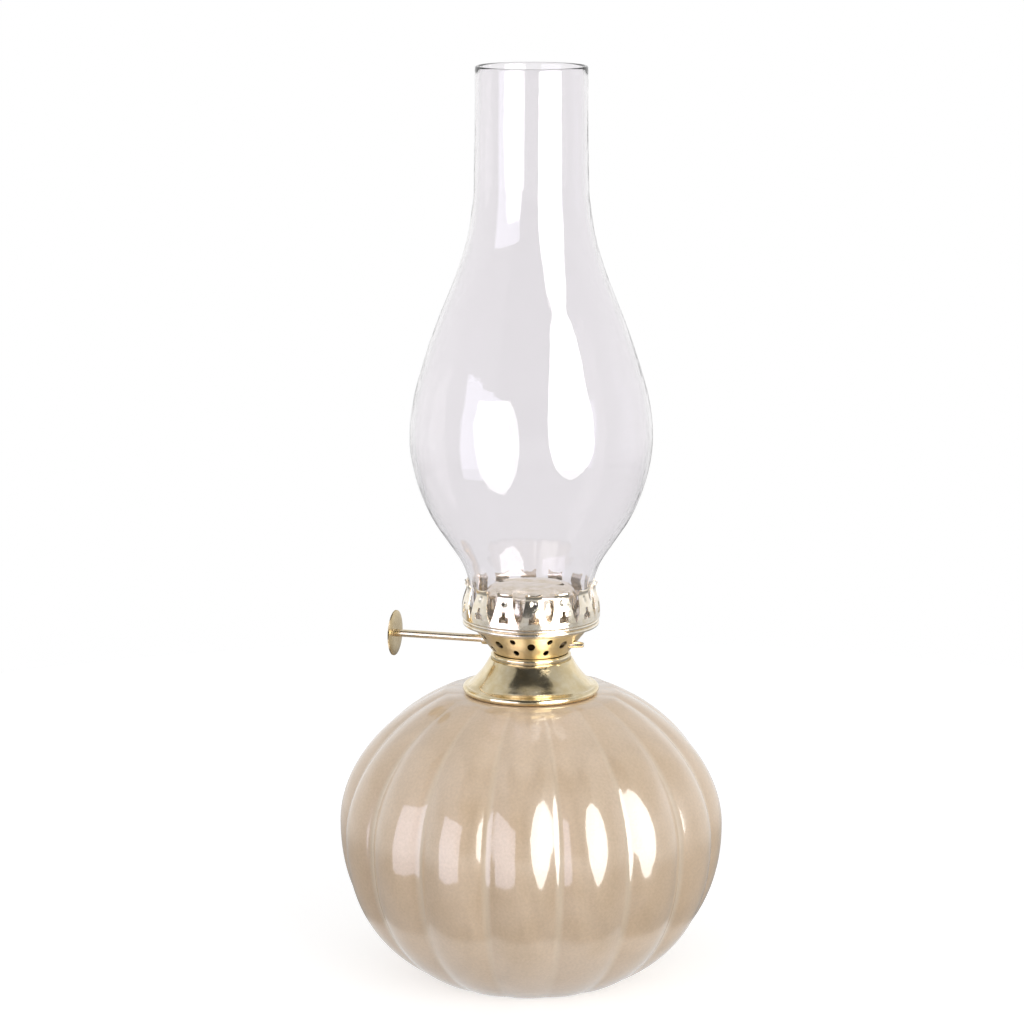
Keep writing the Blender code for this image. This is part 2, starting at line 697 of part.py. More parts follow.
def spindle():
    """The rod with its riveted end, its three spurred wheels, and the knob."""
    radius = SPINDLE_DIAMETER / 2
    knob_end = -(KNOB_REACH + KNOB_THICKNESS)
    nose = SPINDLE_FAR_END - SPINDLE_NOSE
    rivet_foot = knob_end - CLEARANCE
    rings = [
        circle(radius, rivet_foot - RIVET_HEIGHT),
        circle(RIVET_DIAMETER / 2, rivet_foot - RIVET_HEIGHT / 2),
        circle(RIVET_DIAMETER / 2, rivet_foot),
        circle(radius, rivet_foot),
        circle(radius, nose),
        circle(radius * 2 / 3, SPINDLE_FAR_END),
    ]
    place("wick_spindle", stacked(rings), brass_finish, spindle_axis)
    bore = radius + CLEARANCE
    half = WHEEL_THICKNESS / 2
    for side, name in ((-1, "spur_wheel_knob_side"), (0, "spur_wheel_middle"), (1, "spur_wheel_far_side")):
        middle = side * WHEEL_SPACING
        columns = toothed(
            WHEEL_RADIUS, WHEEL_TOOTH_DEPTH, WHEEL_TEETH, bore, middle - half, middle + half
        )
        place(name, looped(columns), brass_finish, spindle_axis)
    rim = toothed(KNOB_DIAMETER / 2, KNOB_NOTCH_DEPTH, KNOB_NOTCHES, bore, knob_end, -KNOB_REACH)
    place("knob_disc", looped(rim), brass_finish, spindle_axis)


def wick():
    """Flat woven wick that hangs from the tube into the oil."""
    strip = stadium(WICK_WIDTH, WICK_THICKNESS, 3)
    rings = [[(x, y, z) for x, y in strip] for z in (WICK_FOOT, WICK_TOP)]
    place("flat_wick", stacked(rings), wick_finish, wick_plane)


def gallery_rim():
    """Rim with two fine beads, rolled round the foot of the crown."""
    bore = BASKET_LIP_RADIUS + CLEARANCE
    bead = RIM_HEIGHT / 4
    top = GALLERY_FLOOR - CLEARANCE
    outline = [(bore, top)]
    for row in (1, 3):
        middle = (RIM_RADIUS - bead, top - row * bead)
        outline += arc(middle, bead, 80, -80, 3)
    outline += [(bore, top - RIM_HEIGHT)]
    place("gallery_rim", turned(outline), brass_finish, gallery_axis)


def gallery_floor():
    """Flat ring that the chimney stands on, with a row of air holes inside the chimney's foot."""
    bore = DOME_RADIUS + CLEARANCE
    edge = CROWN_ROOT_RADIUS - SHEET - CLEARANCE
    outline = [
        (bore, GALLERY_FLOOR),
        (edge, GALLERY_FLOOR),
        (edge, GALLERY_FLOOR + SHEET),
        (bore, GALLERY_FLOOR + SHEET),
    ]
    floor = place("gallery_floor", turned(outline), brass_finish, gallery_axis)
    glass_bore = CHIMNEY_FOOT_RADIUS - CHIMNEY_WALL
    ring = (DOME_RADIUS + DOME_FLANGE + glass_bore) / 2
    holes = []
    for i in range(FLOOR_HOLES):
        turn = math.tau * (i + 0.5) / FLOOR_HOLES
        spot = (ring * math.cos(turn), ring * math.sin(turn), GALLERY_FLOOR)
        hole_place = Matrix.Translation(spot)
        holes.append(rod(FLOOR_HOLE_DIAMETER / 2, OVERRUN, FLOOR_HOLE_SIDES, hole_place))
    cut(floor, cutter("gallery_air_holes", joined(holes), gallery_axis))


# Each row of the crown: share of its height, share of the way in from the root to the neck, half width
# of the prong and half width of its keyhole, both as shares of half the prongs' spacing
CROWN_ROW_SHARES = (
    (0.00, 0.00, 1.00, 0.33),
    (0.10, 0.00, 1.00, 0.33),
    (0.16, 0.01, 0.92, 0.33),
    (0.30, 0.05, 0.77, 0.31),
    (0.34, 0.07, 0.75, 0.14),
    (0.46, 0.22, 0.69, 0.12),
    (0.66, 0.75, 0.59, 0.16),
    (0.84, 1.00, 0.55, 0.16),
    (0.93, 0.80, 0.56, 0.16),
    (1.00, 0.55, 0.44, 0.14),
)
KEYHOLE_ROWS = (2, 3, 4)


def prong_crown():
    """Sheet crown whose prongs lean in to a neck that grips the chimney, then curl out at their tips."""
    neck = CHIMNEY_FOOT_RADIUS + CLEARANCE + SHEET
    shape = bmesh.new()
    half = math.pi / PRONGS
    strips = []
    for prong in range(PRONGS):
        middle = PRONG_TURN - math.pi / 2 + 2 * half * prong
        rows = []
        for height_share, lean_share, width_share, hole_share in CROWN_ROW_SHARES:
            radius = CROWN_ROOT_RADIUS - lean_share * (CROWN_ROOT_RADIUS - neck)
            if height_share > CROWN_ROW_SHARES[-3][0]:
                radius = neck + (1 - lean_share) * CROWN_TIP_FLARE / (1 - CROWN_ROW_SHARES[-1][1])
            height = GALLERY_FLOOR + height_share * CROWN_HEIGHT
            turns = [-width_share, -hole_share, hole_share, width_share]
            if width_share == 1:
                turns = turns[:3]
            points = [middle + turn * half for turn in turns]
            rows.append(
                [shape.verts.new((radius * math.cos(t), radius * math.sin(t), height)) for t in points]
            )
        strips.append(rows)
    for prong, rows in enumerate(strips):
        following = strips[(prong + 1) % PRONGS]
        full = [row if len(row) == 4 else row + [after[0]] for row, after in zip(rows, following)]
        for i, (low, high) in enumerate(zip(full, full[1:])):
            for j in range(3):
                if j == 1 and i in KEYHOLE_ROWS:
                    continue
                shape.faces.new((low[j], low[j + 1], high[j + 1], high[j]))
    crown = place("prong_crown", shape, brass_finish, gallery_axis)
    sheet = crown.modifiers.new("sheet", "SOLIDIFY")
    sheet.thickness = SHEET
    sheet.offset = 1
    sheet.use_even_offset = True


# The dome from its shoulder to its top: share of the height, share of the radius
DOME_SHARES = ((0.50, 1.0), (0.68, 0.97), (0.82, 0.89), (0.91, 0.77), (0.97, 0.52), (1.0, 0.0))


def flame_dome():
    """Domed cap over the wick tube, with the flame slot and a flange that hooks under the gallery floor."""
    outer = [
        (DOME_RADIUS + DOME_FLANGE, FLANGE_TOP),
        (DOME_RADIUS, FLANGE_TOP),
    ]
    for height_share, radius_share in DOME_SHARES:
        outer.append((DOME_RADIUS * radius_share, GALLERY_FLOOR + height_share * DOME_HEIGHT))
    inner = [
        (DOME_RADIUS + DOME_FLANGE, FLANGE_TOP - SHEET),
        (DOME_RADIUS - SHEET, FLANGE_TOP - SHEET),
    ]
    inner += inset(outer[2:], SHEET)
    inner[-1] = (0, DOME_TOP - SHEET)
    dome = place("flame_dome", turned(outer + inner[::-1]), brass_finish, gallery_axis)
    opening = stadium(SLOT_LENGTH, SLOT_WIDTH)
    heights = (GALLERY_FLOOR + DOME_HEIGHT / 2, DOME_TOP + OVERRUN)
    slot = cutter("flame_slot", stacked([[(x, y, z) for x, y in opening] for z in heights]), gallery_axis)
    slot.rotation_euler = (0, 0, -WICK_YAW)
    cut(dome, slot)


# The chimney's outline: share of the height of its stretch, share of the way to the belly's radius
LOWER_SHARES = ((0, 0), (0.15, 0.125), (0.30, 0.37), (0.45, 0.62), (0.62, 0.815), (0.81, 0.95), (1, 1))
UPPER_SHARES = (
    (0.14, 0.945),
    (0.30, 0.775),
    (0.46, 0.555),
    (0.61, 0.315),
    (0.76, 0.12),
    (0.90, 0.025),
    (1, 0),
)


def chimney_glass():
    """Bellied glass tube, straight at its foot and at its top."""
    outer = [(CHIMNEY_FOOT_RADIUS, CHIMNEY_FOOT)]
    for height_share, radius_share in LOWER_SHARES:
        radius = CHIMNEY_FOOT_RADIUS + radius_share * (CHIMNEY_BELLY_RADIUS - CHIMNEY_FOOT_RADIUS)
        outer.append((radius, CHIMNEY_WAIST + height_share * CHIMNEY_BELLY_RISE))
    for height_share, radius_share in UPPER_SHARES:
        swell = radius_share * (CHIMNEY_BELLY_RADIUS - CHIMNEY_SHOULDER_RADIUS)
        height = CHIMNEY_BELLY + height_share * CHIMNEY_SHOULDER_RISE
        outer.append((CHIMNEY_SHOULDER_RADIUS + swell, height))
    outer.append((CHIMNEY_TOP_RADIUS, CHIMNEY_TOP))
    inner = inset(outer, CHIMNEY_WALL)
    inner[0] = (CHIMNEY_FOOT_RADIUS - CHIMNEY_WALL, CHIMNEY_FOOT)
    inner[-1] = (CHIMNEY_TOP_RADIUS - CHIMNEY_WALL, CHIMNEY_TOP)
    place("chimney_glass", turned(outer + inner[::-1]), clear_glass_finish, chimney_axis)


font_glass()
collar()
thread_rings()
seat_bead()
air_basket()
burner_inside()
spindle()
wick()
gallery_rim()
gallery_floor()
prong_crown()
flame_dome()
chimney_glass()
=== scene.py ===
# %% [markdown]
# # A kerosene lamp with a melon-shaped glass font
#
# The lamp is a stack of round things on one upright axis. The glass font holds the oil. A brass collar
# is plastered to its neck, the burner screws into the collar, and the gallery on the burner carries the
# flame dome and a crown of prongs that grips the glass chimney. A thin spindle with a knob winds the wick.
#
# The solids that carry and move everything come in as a fixed frame. This lesson dresses that frame:
# it swaps the plain solids that show for finer meshes in the same places, and gives each surface the
# finish of the real material.

# %% Load the frame
import math

import bmesh
import bpy
from mathutils import Matrix, Vector, noise


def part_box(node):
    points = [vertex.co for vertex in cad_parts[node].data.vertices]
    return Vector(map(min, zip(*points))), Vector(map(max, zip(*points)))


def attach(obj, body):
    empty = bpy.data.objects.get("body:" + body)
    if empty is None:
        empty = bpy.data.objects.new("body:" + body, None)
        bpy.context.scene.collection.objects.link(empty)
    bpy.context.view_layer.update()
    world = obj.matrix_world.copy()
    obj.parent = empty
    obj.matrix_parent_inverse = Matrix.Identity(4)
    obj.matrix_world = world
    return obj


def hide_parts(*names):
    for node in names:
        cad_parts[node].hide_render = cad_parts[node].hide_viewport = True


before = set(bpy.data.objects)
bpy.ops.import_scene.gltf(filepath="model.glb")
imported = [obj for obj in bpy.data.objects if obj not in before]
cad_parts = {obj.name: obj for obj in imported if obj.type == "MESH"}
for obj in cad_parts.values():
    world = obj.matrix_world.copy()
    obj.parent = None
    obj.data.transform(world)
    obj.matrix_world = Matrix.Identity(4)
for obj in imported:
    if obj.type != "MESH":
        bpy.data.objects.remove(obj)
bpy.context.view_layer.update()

MM = 0.001

# %% [markdown]
# ## Reading sizes from the frame
#
# The fine pieces have to sit exactly where the solids sit, so their driving sizes are read from the
# solids' boxes. A turned piece needs its widest radius, its foot and its top.

# %% Sizes of the solids
def foot(node):
    """Lowest height of a node."""
    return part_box(node)[0].z


def top(node):
    """Highest height of a node."""
    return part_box(node)[1].z


def reach(node):
    """Widest radius of a turned node that stands on the lamp's axis."""
    low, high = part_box(node)
    return max(high.x, high.y, -low.x, -low.y)


for node in ("font_glass", "collar_cone", "air_basket", "gallery_rim", "prong_crown", "chimney_glass"):
    low, high = round(foot(node) / MM, 2), round(top(node) / MM, 2)
    print(node, "radius", round(reach(node) / MM, 2), "from", low, "to", high)

# %% [markdown]
# ## Small tools for turned shapes
#
# Glass blown in a mould and brass spun on a lathe are both round about one axis, so most pieces are an
# outline of (radius, height) points that is spun about Z. A spline gives blown glass its smooth line, arcs
# give rolled brass its beads, and moving a line square to itself gives a sheet its inner side.

# %% Outlines
def between_knots(p, q, r, s, t):
    """One coordinate of a smooth curve, at the share t of the way from q to r."""
    square = (2 * p - 5 * q + 4 * r - s) * t**2
    cube = (3 * q - p - 3 * r + s) * t**3
    return 0.5 * (2 * q + (r - p) * t + square + cube)


def spline(points, steps=6):
    """A smooth line through the points."""
    line = []
    ends = [points[0]] + list(points) + [points[-1]]
    for a, b, c, d in zip(ends, ends[1:], ends[2:], ends[3:]):
        for i in range(steps):
            line.append(tuple(between_knots(*knots, i / steps) for knots in zip(a, b, c, d)))
    return line + [tuple(points[-1])]


def arc(centre, radius, start, end, steps=8):
    """Points of an arc in (radius, height), with its angles in degrees."""
    turns = [math.radians(start + (end - start) * i / steps) for i in range(steps + 1)]
    return [(centre[0] + radius * math.cos(a), centre[1] + radius * math.sin(a)) for a in turns]


def inset(line, depth):
    """The line moved square to itself by the depth, towards its left side."""
    moved = []
    for i, point in enumerate(line):
        before = line[max(i - 1, 0)]
        after = line[min(i + 1, len(line) - 1)]
        run = Vector((after[0] - before[0], after[1] - before[1])).normalized()
        moved.append((point[0] - run.y * depth, point[1] + run.x * depth))
    return moved


def turned(outline, sides, shaped=None):
    """A closed outline spun about Z. The function shaped may move each point by its angle."""
    shape = bmesh.new()
    columns = []
    for i in range(sides):
        angle = math.tau * i / sides
        column = []
        for radius, height in outline:
            if shaped:
                radius, height = shaped(angle, radius, height)
            column.append(shape.verts.new((radius * math.cos(angle), radius * math.sin(angle), height)))
        columns.append(column)
    for here, there in zip(columns, columns[1:] + columns[:1]):
        for i in range(len(here)):
            j = (i + 1) % len(here)
            shape.faces.new((here[i], there[i], there[j], here[j]))
    bmesh.ops.remove_doubles(shape, verts=shape.verts, dist=MM / 1000)
    return shape


# %% [markdown]
# ## Placing a piece
#
# Each piece is shaded smooth with sharp edges kept, gets its finish, rides on the body that carries it
# and stands for the solid that it replaces.

# %% Place
SHARP_DEGREES = 32


def smooth(mesh, sharp=SHARP_DEGREES):
    """Smooth shading, which keeps the edges that turn by more than the angle."""
    mesh.shade_smooth()
    mesh.set_sharp_from_angle(angle=math.radians(sharp))


def mesh_of(name, shape, sharp=SHARP_DEGREES):
    """An object of a bmesh, with its faces out."""
    bmesh.ops.recalc_face_normals(shape, faces=shape.faces)
    mesh = bpy.data.meshes.new(name)
    shape.to_mesh(mesh)
    shape.free()
    smooth(mesh, sharp)
    made = bpy.data.objects.new(name, mesh)
    bpy.context.scene.collection.objects.link(made)
    return made


def settle(piece):
    """Turns a piece with modifiers into the plain mesh that they make."""
    bpy.context.view_layer.update()
    graph = bpy.context.evaluated_depsgraph_get()
    plain = bpy.data.meshes.new_from_object(piece.evaluated_get(graph))
    piece.modifiers.clear()
    piece.data = plain
    return piece


def cut(piece, tool):
    """Cuts the tool's space out of the piece."""
    step = piece.modifiers.new("cut", "BOOLEAN")
    step.operation = "DIFFERENCE"
    step.solver = "EXACT"
    step.object = tool
    settle(piece)
    bpy.data.objects.remove(tool)
    smooth(piece.data)
    return piece


def put(piece, body, finish, slot, *nodes):
    """Finishes a piece, lets it ride on its body and stand for its solids."""
    piece.data.materials.clear()
    piece.data.materials.append(finish)
    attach(piece, body)
    if nodes:
        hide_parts(*nodes)
    print(piece.name, "has", len(piece.data.polygons), "faces and rides on", body)
    return piece


# %% [markdown]
# ## The camera
#
# The lamp was seen from a little above through a long lens, so its upright lines stay nearly parallel.
# The lens comes from the picture's width in pixels: a focal length in pixels over the width, times the
# sensor's width, is the focal length in millimetres.

# %% Camera
PICTURE_PIXELS = 1024
FOCAL_PIXELS = 3500
SENSOR_MM = 36
CAMERA_SIDE = -7.9 * MM
CAMERA_DISTANCE = 1420 * MM
CAMERA_HEIGHT = 477.6 * MM
CAMERA_DIP = math.radians(11.2)

lens = bpy.data.cameras.new("camera")
lens.sensor_width = SENSOR_MM
lens.lens = FOCAL_PIXELS / PICTURE_PIXELS * SENSOR_MM
camera = bpy.data.objects.new("camera", lens)
camera.location = (CAMERA_SIDE, -CAMERA_DISTANCE, CAMERA_HEIGHT)
camera.rotation_euler = (math.pi / 2 - CAMERA_DIP, 0, 0)
bpy.context.scene.collection.objects.link(camera)
bpy.context.scene.camera = camera
print("lens in mm:", round(lens.lens, 1))

# %% [markdown]
# ## Colours and nodes
#
# A colour picked from a screen is an sRGB hex code, and a shader wants linear light, so one function turns
# the one into the other. A second one adds a node with its settings and its links, which keeps each
# material short enough to read.

# %% Material tools
def colour(code):
    """An sRGB hex code such as #C8B4A0 as linear red, green, blue and full alpha."""
    parts = [int(code[i : i + 2], 16) / 255 for i in (1, 3, 5)]
    return (*[p / 12.92 if p <= 0.04045 else ((p + 0.055) / 1.055) ** 2.4 for p in parts], 1)


def add(tree, kind, settings=None, links=None):
    """Adds a node. Settings name a socket, a socket's number or a property, and links feed sockets."""
    node = tree.nodes.new("ShaderNode" + kind)
    for name, value in (settings or {}).items():
        if isinstance(name, int) or name in node.inputs:
            node.inputs[name].default_value = value
        else:
            setattr(node, name, value)
    for name, source in (links or {}).items():
        tree.links.new(source, node.inputs[name])
    return node


def material(name, **surface):
    """A material with one Principled shader, whose constants are set on its own sockets."""
    made = bpy.data.materials.new(name)
    made.use_nodes = True
    shader = made.node_tree.nodes["Principled BSDF"]
    for socket, value in surface.items():
        shader.inputs[socket.replace("_", " ")].default_value = value
    return made, made.node_tree, shader


def grain(tree, size_mm, detail=2.0, stretch=(1, 1, 1)):
    """Noise in the object's own space, whose patches are about size_mm across."""
    place = add(tree, "TexCoord")
    scaled = add(tree, "Mapping", {"Scale": stretch}, {"Vector": place.outputs["Object"]})
    settings = {"Scale": 1 / (size_mm * MM), "Detail": detail, "Roughness": 0.55}
    return add(tree, "TexNoise", settings, {"Vector": scaled.outputs[0]}).outputs[0]


def between(tree, share, first, second, low=0.0, high=1.0):
    """A colour between two, as the share runs from low to high."""
    ramp = add(tree, "MapRange", {"From Min": low, "From Max": high}, {"Value": share})
    mixed = add(tree, "Mix", {"data_type": "RGBA"}, {0: ramp.outputs[0]})
    mixed.inputs[6].default_value = first
    mixed.inputs[7].default_value = second
    return mixed.outputs[2]


# %% [markdown]
# ## Champagne lustre glass
#
# The font is blown into a ribbed mould and then fumed: a thin film of metal oxide is left on its hot
# surface. The film gives the eye a pearly body colour of pale champagne, and over it a hard wet gloss that
# reflects about twice as much as plain glass. So the body is a softly scattering base, and the gloss is a
# coat with a high index of refraction. A painted highlight makes the colour paler along each crease, where
# the lobes glint. A real pearl grain is finer than the picture shows, so it is drawn about 1 mm wide.

# %% Champagne lustre glass
PEARL_GRAIN_MM = 1.1
CLOUD_MM = 26
PEARL_DEPTH = 0.05 * MM
MOULD_RIPPLE_MM = 7
MOULD_RIPPLE_DEPTH = 0.10 * MM

champagne, tree, shader = material(
    "champagne_lustre_glass",
    Roughness=0.38,
    IOR=1.5,
    Coat_Weight=1.0,
    Coat_Roughness=0.075,
    Coat_IOR=1.85,
)
cloud = between(tree, grain(tree, CLOUD_MM), colour("#D1B798"), colour("#D9C1A6"), 0.35, 0.65)
pearl = grain(tree, PEARL_GRAIN_MM, 3.0)
speckled = {"From Min": 0.3, "From Max": 0.7, "To Min": 0.94, "To Max": 1.05}
speck = add(tree, "MapRange", speckled, {"Value": pearl})
body = add(tree, "Mix", {"data_type": "RGBA", "blend_type": "MULTIPLY", 0: 1.0})
tree.links.new(cloud, body.inputs[6])
tree.links.new(speck.outputs[0], body.inputs[7])
# Painted highlight: along the creases the colour turns paler, which stands for their glint.
crease_glint = add(tree, "Attribute", {"attribute_name": "crease_glint"})
pale = add(tree, "Mix", {"data_type": "RGBA"}, {0: crease_glint.outputs["Fac"]})
tree.links.new(body.outputs[2], pale.inputs[6])
pale.inputs[7].default_value = colour("#E8D9C2")
tree.links.new(pale.outputs[2], shader.inputs["Base Color"])
rippled = grain(tree, MOULD_RIPPLE_MM, 2.0, (1, 1, 0.5))
gloss = add(tree, "Bump", {"Strength": 1.0, "Distance": MOULD_RIPPLE_DEPTH}, {"Height": rippled}).outputs[0]
tree.links.new(gloss, shader.inputs["Coat Normal"])
grained = add(tree, "Bump", {"Strength": 1.0, "Distance": PEARL_DEPTH}, {"Height": pearl, "Normal": gloss})
tree.links.new(grained.outputs[0], shader.inputs["Normal"])

# %% [markdown]
# ## Clear blown glass
#
# The chimney is soda glass, blown and cut off at both ends. It is nearly colourless. What shows is the
# light that it loses at each of its four surfaces, its bright reflections and the slight waves of its walls.
# Its base colour is a light grey-white, because every metre of real glass takes a little light away.

# %% Clear blown glass
WALL_WAVE_MM = 11
WALL_WAVE_DEPTH = 0.09 * MM

clear, tree, shader = material(
    "clear_soda_glass",
    Base_Color=colour("#F2F0F2"),
    Roughness=0.0,
    IOR=1.5,
    Transmission_Weight=1.0,
)
wavy = grain(tree, WALL_WAVE_MM, 3.0, (1, 1, 0.6))
blown = add(tree, "Bump", {"Strength": 1.0, "Distance": WALL_WAVE_DEPTH}, {"Height": wavy})
tree.links.new(blown.outputs[0], shader.inputs["Normal"])

# %% [markdown]
# ## Pale polished brass
#
# Every metal piece is thin sheet or rod of pale brass. Most are polished and lacquered, and the pierced
# basket is satin. The brass inside the burner gets a dark brown colour, which is painted shade for its place
# in shadow.
# Brass is a metal, so its colour lies in its reflections. Handling leaves the shine uneven, which is drawn as
# patches of higher roughness, and the lacquer warms a little where it is thick.

# %% Pale polished brass
def brass(name, pale_code, warm_code, polish, wear_mm=5, dent_mm=0.03):
    """Polished sheet brass, with uneven shine."""
    made, tree, shader = material(name, Metallic=1.0)
    patches = grain(tree, wear_mm, 3.0)
    tint = between(tree, patches, colour(pale_code), colour(warm_code), 0.35, 0.65)
    tree.links.new(tint, shader.inputs["Base Color"])
    rubbed = {"From Min": 0.25, "From Max": 0.75, "To Min": polish[0], "To Max": polish[1]}
    shine = add(tree, "MapRange", rubbed, {"Value": grain(tree, wear_mm / 3, 3.0)})
    tree.links.new(shine.outputs[0], shader.inputs["Roughness"])
    dented = {"Strength": 1.0, "Distance": dent_mm * MM}
    dents = add(tree, "Bump", dented, {"Height": grain(tree, wear_mm / 2)})
    tree.links.new(dents.outputs[0], shader.inputs["Normal"])
    return made


polished_brass = brass("pale_polished_brass", "#EFE1C0", "#E5D2A8", (0.10, 0.20))
pressed_brass = brass("pale_pressed_brass", "#F8F0E2", "#F0E5D0", (0.12, 0.24), 3, 0.04)
satin_brass = brass("satin_pierced_brass", "#E9DABA", "#DECCA8", (0.30, 0.42), 3, 0.03)
turned_brass = brass("drawn_brass_rod", "#F5E8D0", "#EAD9B8", (0.18, 0.30), 2, 0.01)
knob_brass = brass("stamped_knob_brass", "#CDBB94", "#BFAA80", (0.22, 0.34), 2, 0.01)
# Painted shade: the pieces inside the burner lie in shadow, so their brass is given a dark brown colour.
painted_shade_brass = brass("shade_darkened_brass", "#54452C", "#3E3220", (0.40, 0.55), 4, 0.02)

# %% [markdown]
# ## Plaster and cotton
#
# Plaster of Paris is matt, off-white and slightly pitted. The wick is a flat woven braid of cotton, with
# threads about 0.7 mm wide that cross at right angles.

# %% Plaster and cotton
PITS_MM = 1.5
PIT_DEPTH = 0.2 * MM
THREAD_MM = 0.7
THREAD_DEPTH = 0.25 * MM
MULTIPLY = {"operation": "MULTIPLY"}
BAND_PERIOD = 0.32  # of a wave texture whose scale is 1

plaster, tree, shader = material("plaster_of_paris", Roughness=0.9)
pits = grain(tree, PITS_MM, 4.0)
pitted = between(tree, pits, colour("#CFC8B8"), colour("#E6E1D5"), 0.3, 0.6)
tree.links.new(pitted, shader.inputs["Base Color"])
pit_bump = add(tree, "Bump", {"Strength": 1.0, "Distance": PIT_DEPTH}, {"Height": pits})
tree.links.new(pit_bump.outputs[0], shader.inputs["Normal"])

cotton, tree, shader = material("woven_cotton_wick", Roughness=0.95, Sheen_Weight=0.3)
across = add(tree, "TexCoord")
scale = BAND_PERIOD / (THREAD_MM * MM)
waves = []
for direction in ("X", "Z"):
    bands = {"wave_type": "BANDS", "bands_direction": direction, "Scale": scale, "Distortion": 0.6}
    waves.append(add(tree, "TexWave", bands, {"Vector": across.outputs["Object"]}).outputs[1])
weave = add(tree, "Math", MULTIPLY, {0: waves[0], 1: waves[1]}).outputs[0]
tree.links.new(between(tree, weave, colour("#C9BFA6"), colour("#EFE8D6")), shader.inputs["Base Color"])
woven = add(tree, "Bump", {"Strength": 1.0, "Distance": THREAD_DEPTH}, {"Height": weave})
tree.links.new(woven.outputs[0], shader.inputs["Normal"])

# %% [markdown]
# ## The font
#
# The font's side is two rounded quarters that meet at its widest height: a full one below and a slightly
# pointed one above. Sixteen lobes are pinched into it by the mould. Each is a plain arc across, so it mirrors
# the room as a round column would, and two arcs meet in a narrow crease. The lobes flatten towards the foot
# and the neck. A float attribute marks the creases, where the material paints a highlight: a paler line for
# their glint.

# %% Font
LOBES = 16
LOBE_COLUMNS = 20
LOBE_DEPTH_SHARE = 0.062
LOBE_FOOT_SHARE = 0.4
LOBE_SHOULDER_SHARE = 0.45
CREASE_SHARE = 0.12
# Strength of the painted highlight along the creases
CREASE_GLINT_PAINT = 0.7
VALLEY_TURN = math.radians(8.5)
FONT_RADIUS = 80.3 * MM
FONT_FOOT_RADIUS = 41.8 * MM
FONT_WAIST = 64 * MM
SHOULDER_RADIUS = 36.3 * MM
SHOULDER_HEIGHT = 120.2 * MM
NECK_RADIUS = 19.6 * MM
FONT_WALL = 3 * MM
FONT_FLOOR = 4.5 * MM
RECESS_RADIUS = 31 * MM
RECESS_DEPTH = 1.5 * MM


def quarter(reach_out, rise, roundness, end_radius, steps):
    """A rounded quarter from its widest point to where its radius is end_radius."""
    end_angle = math.acos((end_radius / reach_out) ** (roundness / 2))
    full_rise = rise / math.sin(end_angle) ** (2 / roundness)
    turns = [end_angle * i / steps for i in range(steps + 1)]
    power = 2 / roundness
    return [(reach_out * math.cos(a) ** power, full_rise * math.sin(a) ** power) for a in turns]


def across_lobe(angle):
    """Where an angle lies across its lobe: 0 on the crest and 1 in either crease."""
    crest = VALLEY_TURN + math.pi / LOBES - math.pi / 2
    return abs(((angle - crest) * LOBES / math.pi + 1) % 2 - 1)


def lobe_depth(height):
    """The pinch at a height, as a share of the radius."""
    if height < FONT_WAIST:
        end_share = LOBE_FOOT_SHARE
        away = 1 - height / FONT_WAIST
    else:
        end_share = LOBE_SHOULDER_SHARE
        away = (height - FONT_WAIST) / (SHOULDER_HEIGHT - FONT_WAIST)
    return LOBE_DEPTH_SHARE * (1 - (1 - end_share) * min(1, away) ** 2)


def font_outline():
    """The closed outline of the font: outside, neck, hollow and foot."""
    below = quarter(FONT_RADIUS, -FONT_WAIST, 2.2, FONT_FOOT_RADIUS, 34)
    above = quarter(FONT_RADIUS, SHOULDER_HEIGHT - FONT_WAIST, 1.9, SHOULDER_RADIUS, 34)
    side = [(r, FONT_WAIST + z) for r, z in reversed(below)]
    side += [(r, FONT_WAIST + z) for r, z in above[1:]]
    hollow = inset(side, FONT_WALL)[::3]
    hollow[0] = (hollow[0][0], FONT_FLOOR)
    bore = NECK_RADIUS - FONT_WALL * 5 / 6
    ceiling = SHOULDER_HEIGHT - FONT_WALL
    hollow[-1] = (hollow[-1][0], ceiling)
    neck = [
        (NECK_RADIUS + FONT_WALL, SHOULDER_HEIGHT),
        (NECK_RADIUS, SHOULDER_HEIGHT + FONT_WALL / 4),
        (NECK_RADIUS, top("font_glass")),
        (bore, top("font_glass")),
        (bore, ceiling),
    ]
    recess = [
        (RECESS_RADIUS, FONT_FLOOR),
        (0, FONT_FLOOR),
        (0, RECESS_DEPTH),
        (RECESS_RADIUS / 2, RECESS_DEPTH * 3 / 4),
        (RECESS_RADIUS, 0),
    ]
    return side + neck + hollow[::-1] + recess


def pinched(angle, radius, height):
    """Draws a point of the font's side in towards the axis between its lobes."""
    if radius > max(RECESS_RADIUS, NECK_RADIUS + FONT_WALL):
        across = across_lobe(angle)
        if across > 1 - CREASE_SHARE:
            across -= (across - 1 + CREASE_SHARE) ** 2 / CREASE_SHARE / 2
        radius *= 1 - lobe_depth(height) * across**2
    return radius, height


font = mesh_of("font_melon_glass", turned(font_outline(), LOBES * LOBE_COLUMNS, pinched), 60)
# Painted highlight: the attribute sets how much paler the colour is along each crease, standing for its
# glint.
marks = font.data.attributes.new("crease_glint", "FLOAT", "POINT")
for i, corner in enumerate(font.data.vertices):
    crease = across_lobe(math.atan2(corner.co.y, corner.co.x)) - (1 - CREASE_SHARE)
    fade = (lobe_depth(corner.co.z) / LOBE_DEPTH_SHARE) ** 2
    marks.data[i].value = max(0.0, crease / CREASE_SHARE) * fade * CREASE_GLINT_PAINT
put(font, "font", champagne, "champagne_glass", "font_glass")

# %% [markdown]
# ## The collar
#
# The collar is a cone spun from sheet brass. Its foot steps out and rolls over into a bead that hides the
# plaster. The threaded brass ring inside its top stays as the solid made it.

# %% Collar
SHEET = 0.5 * MM
ROUND_SIDES = 128


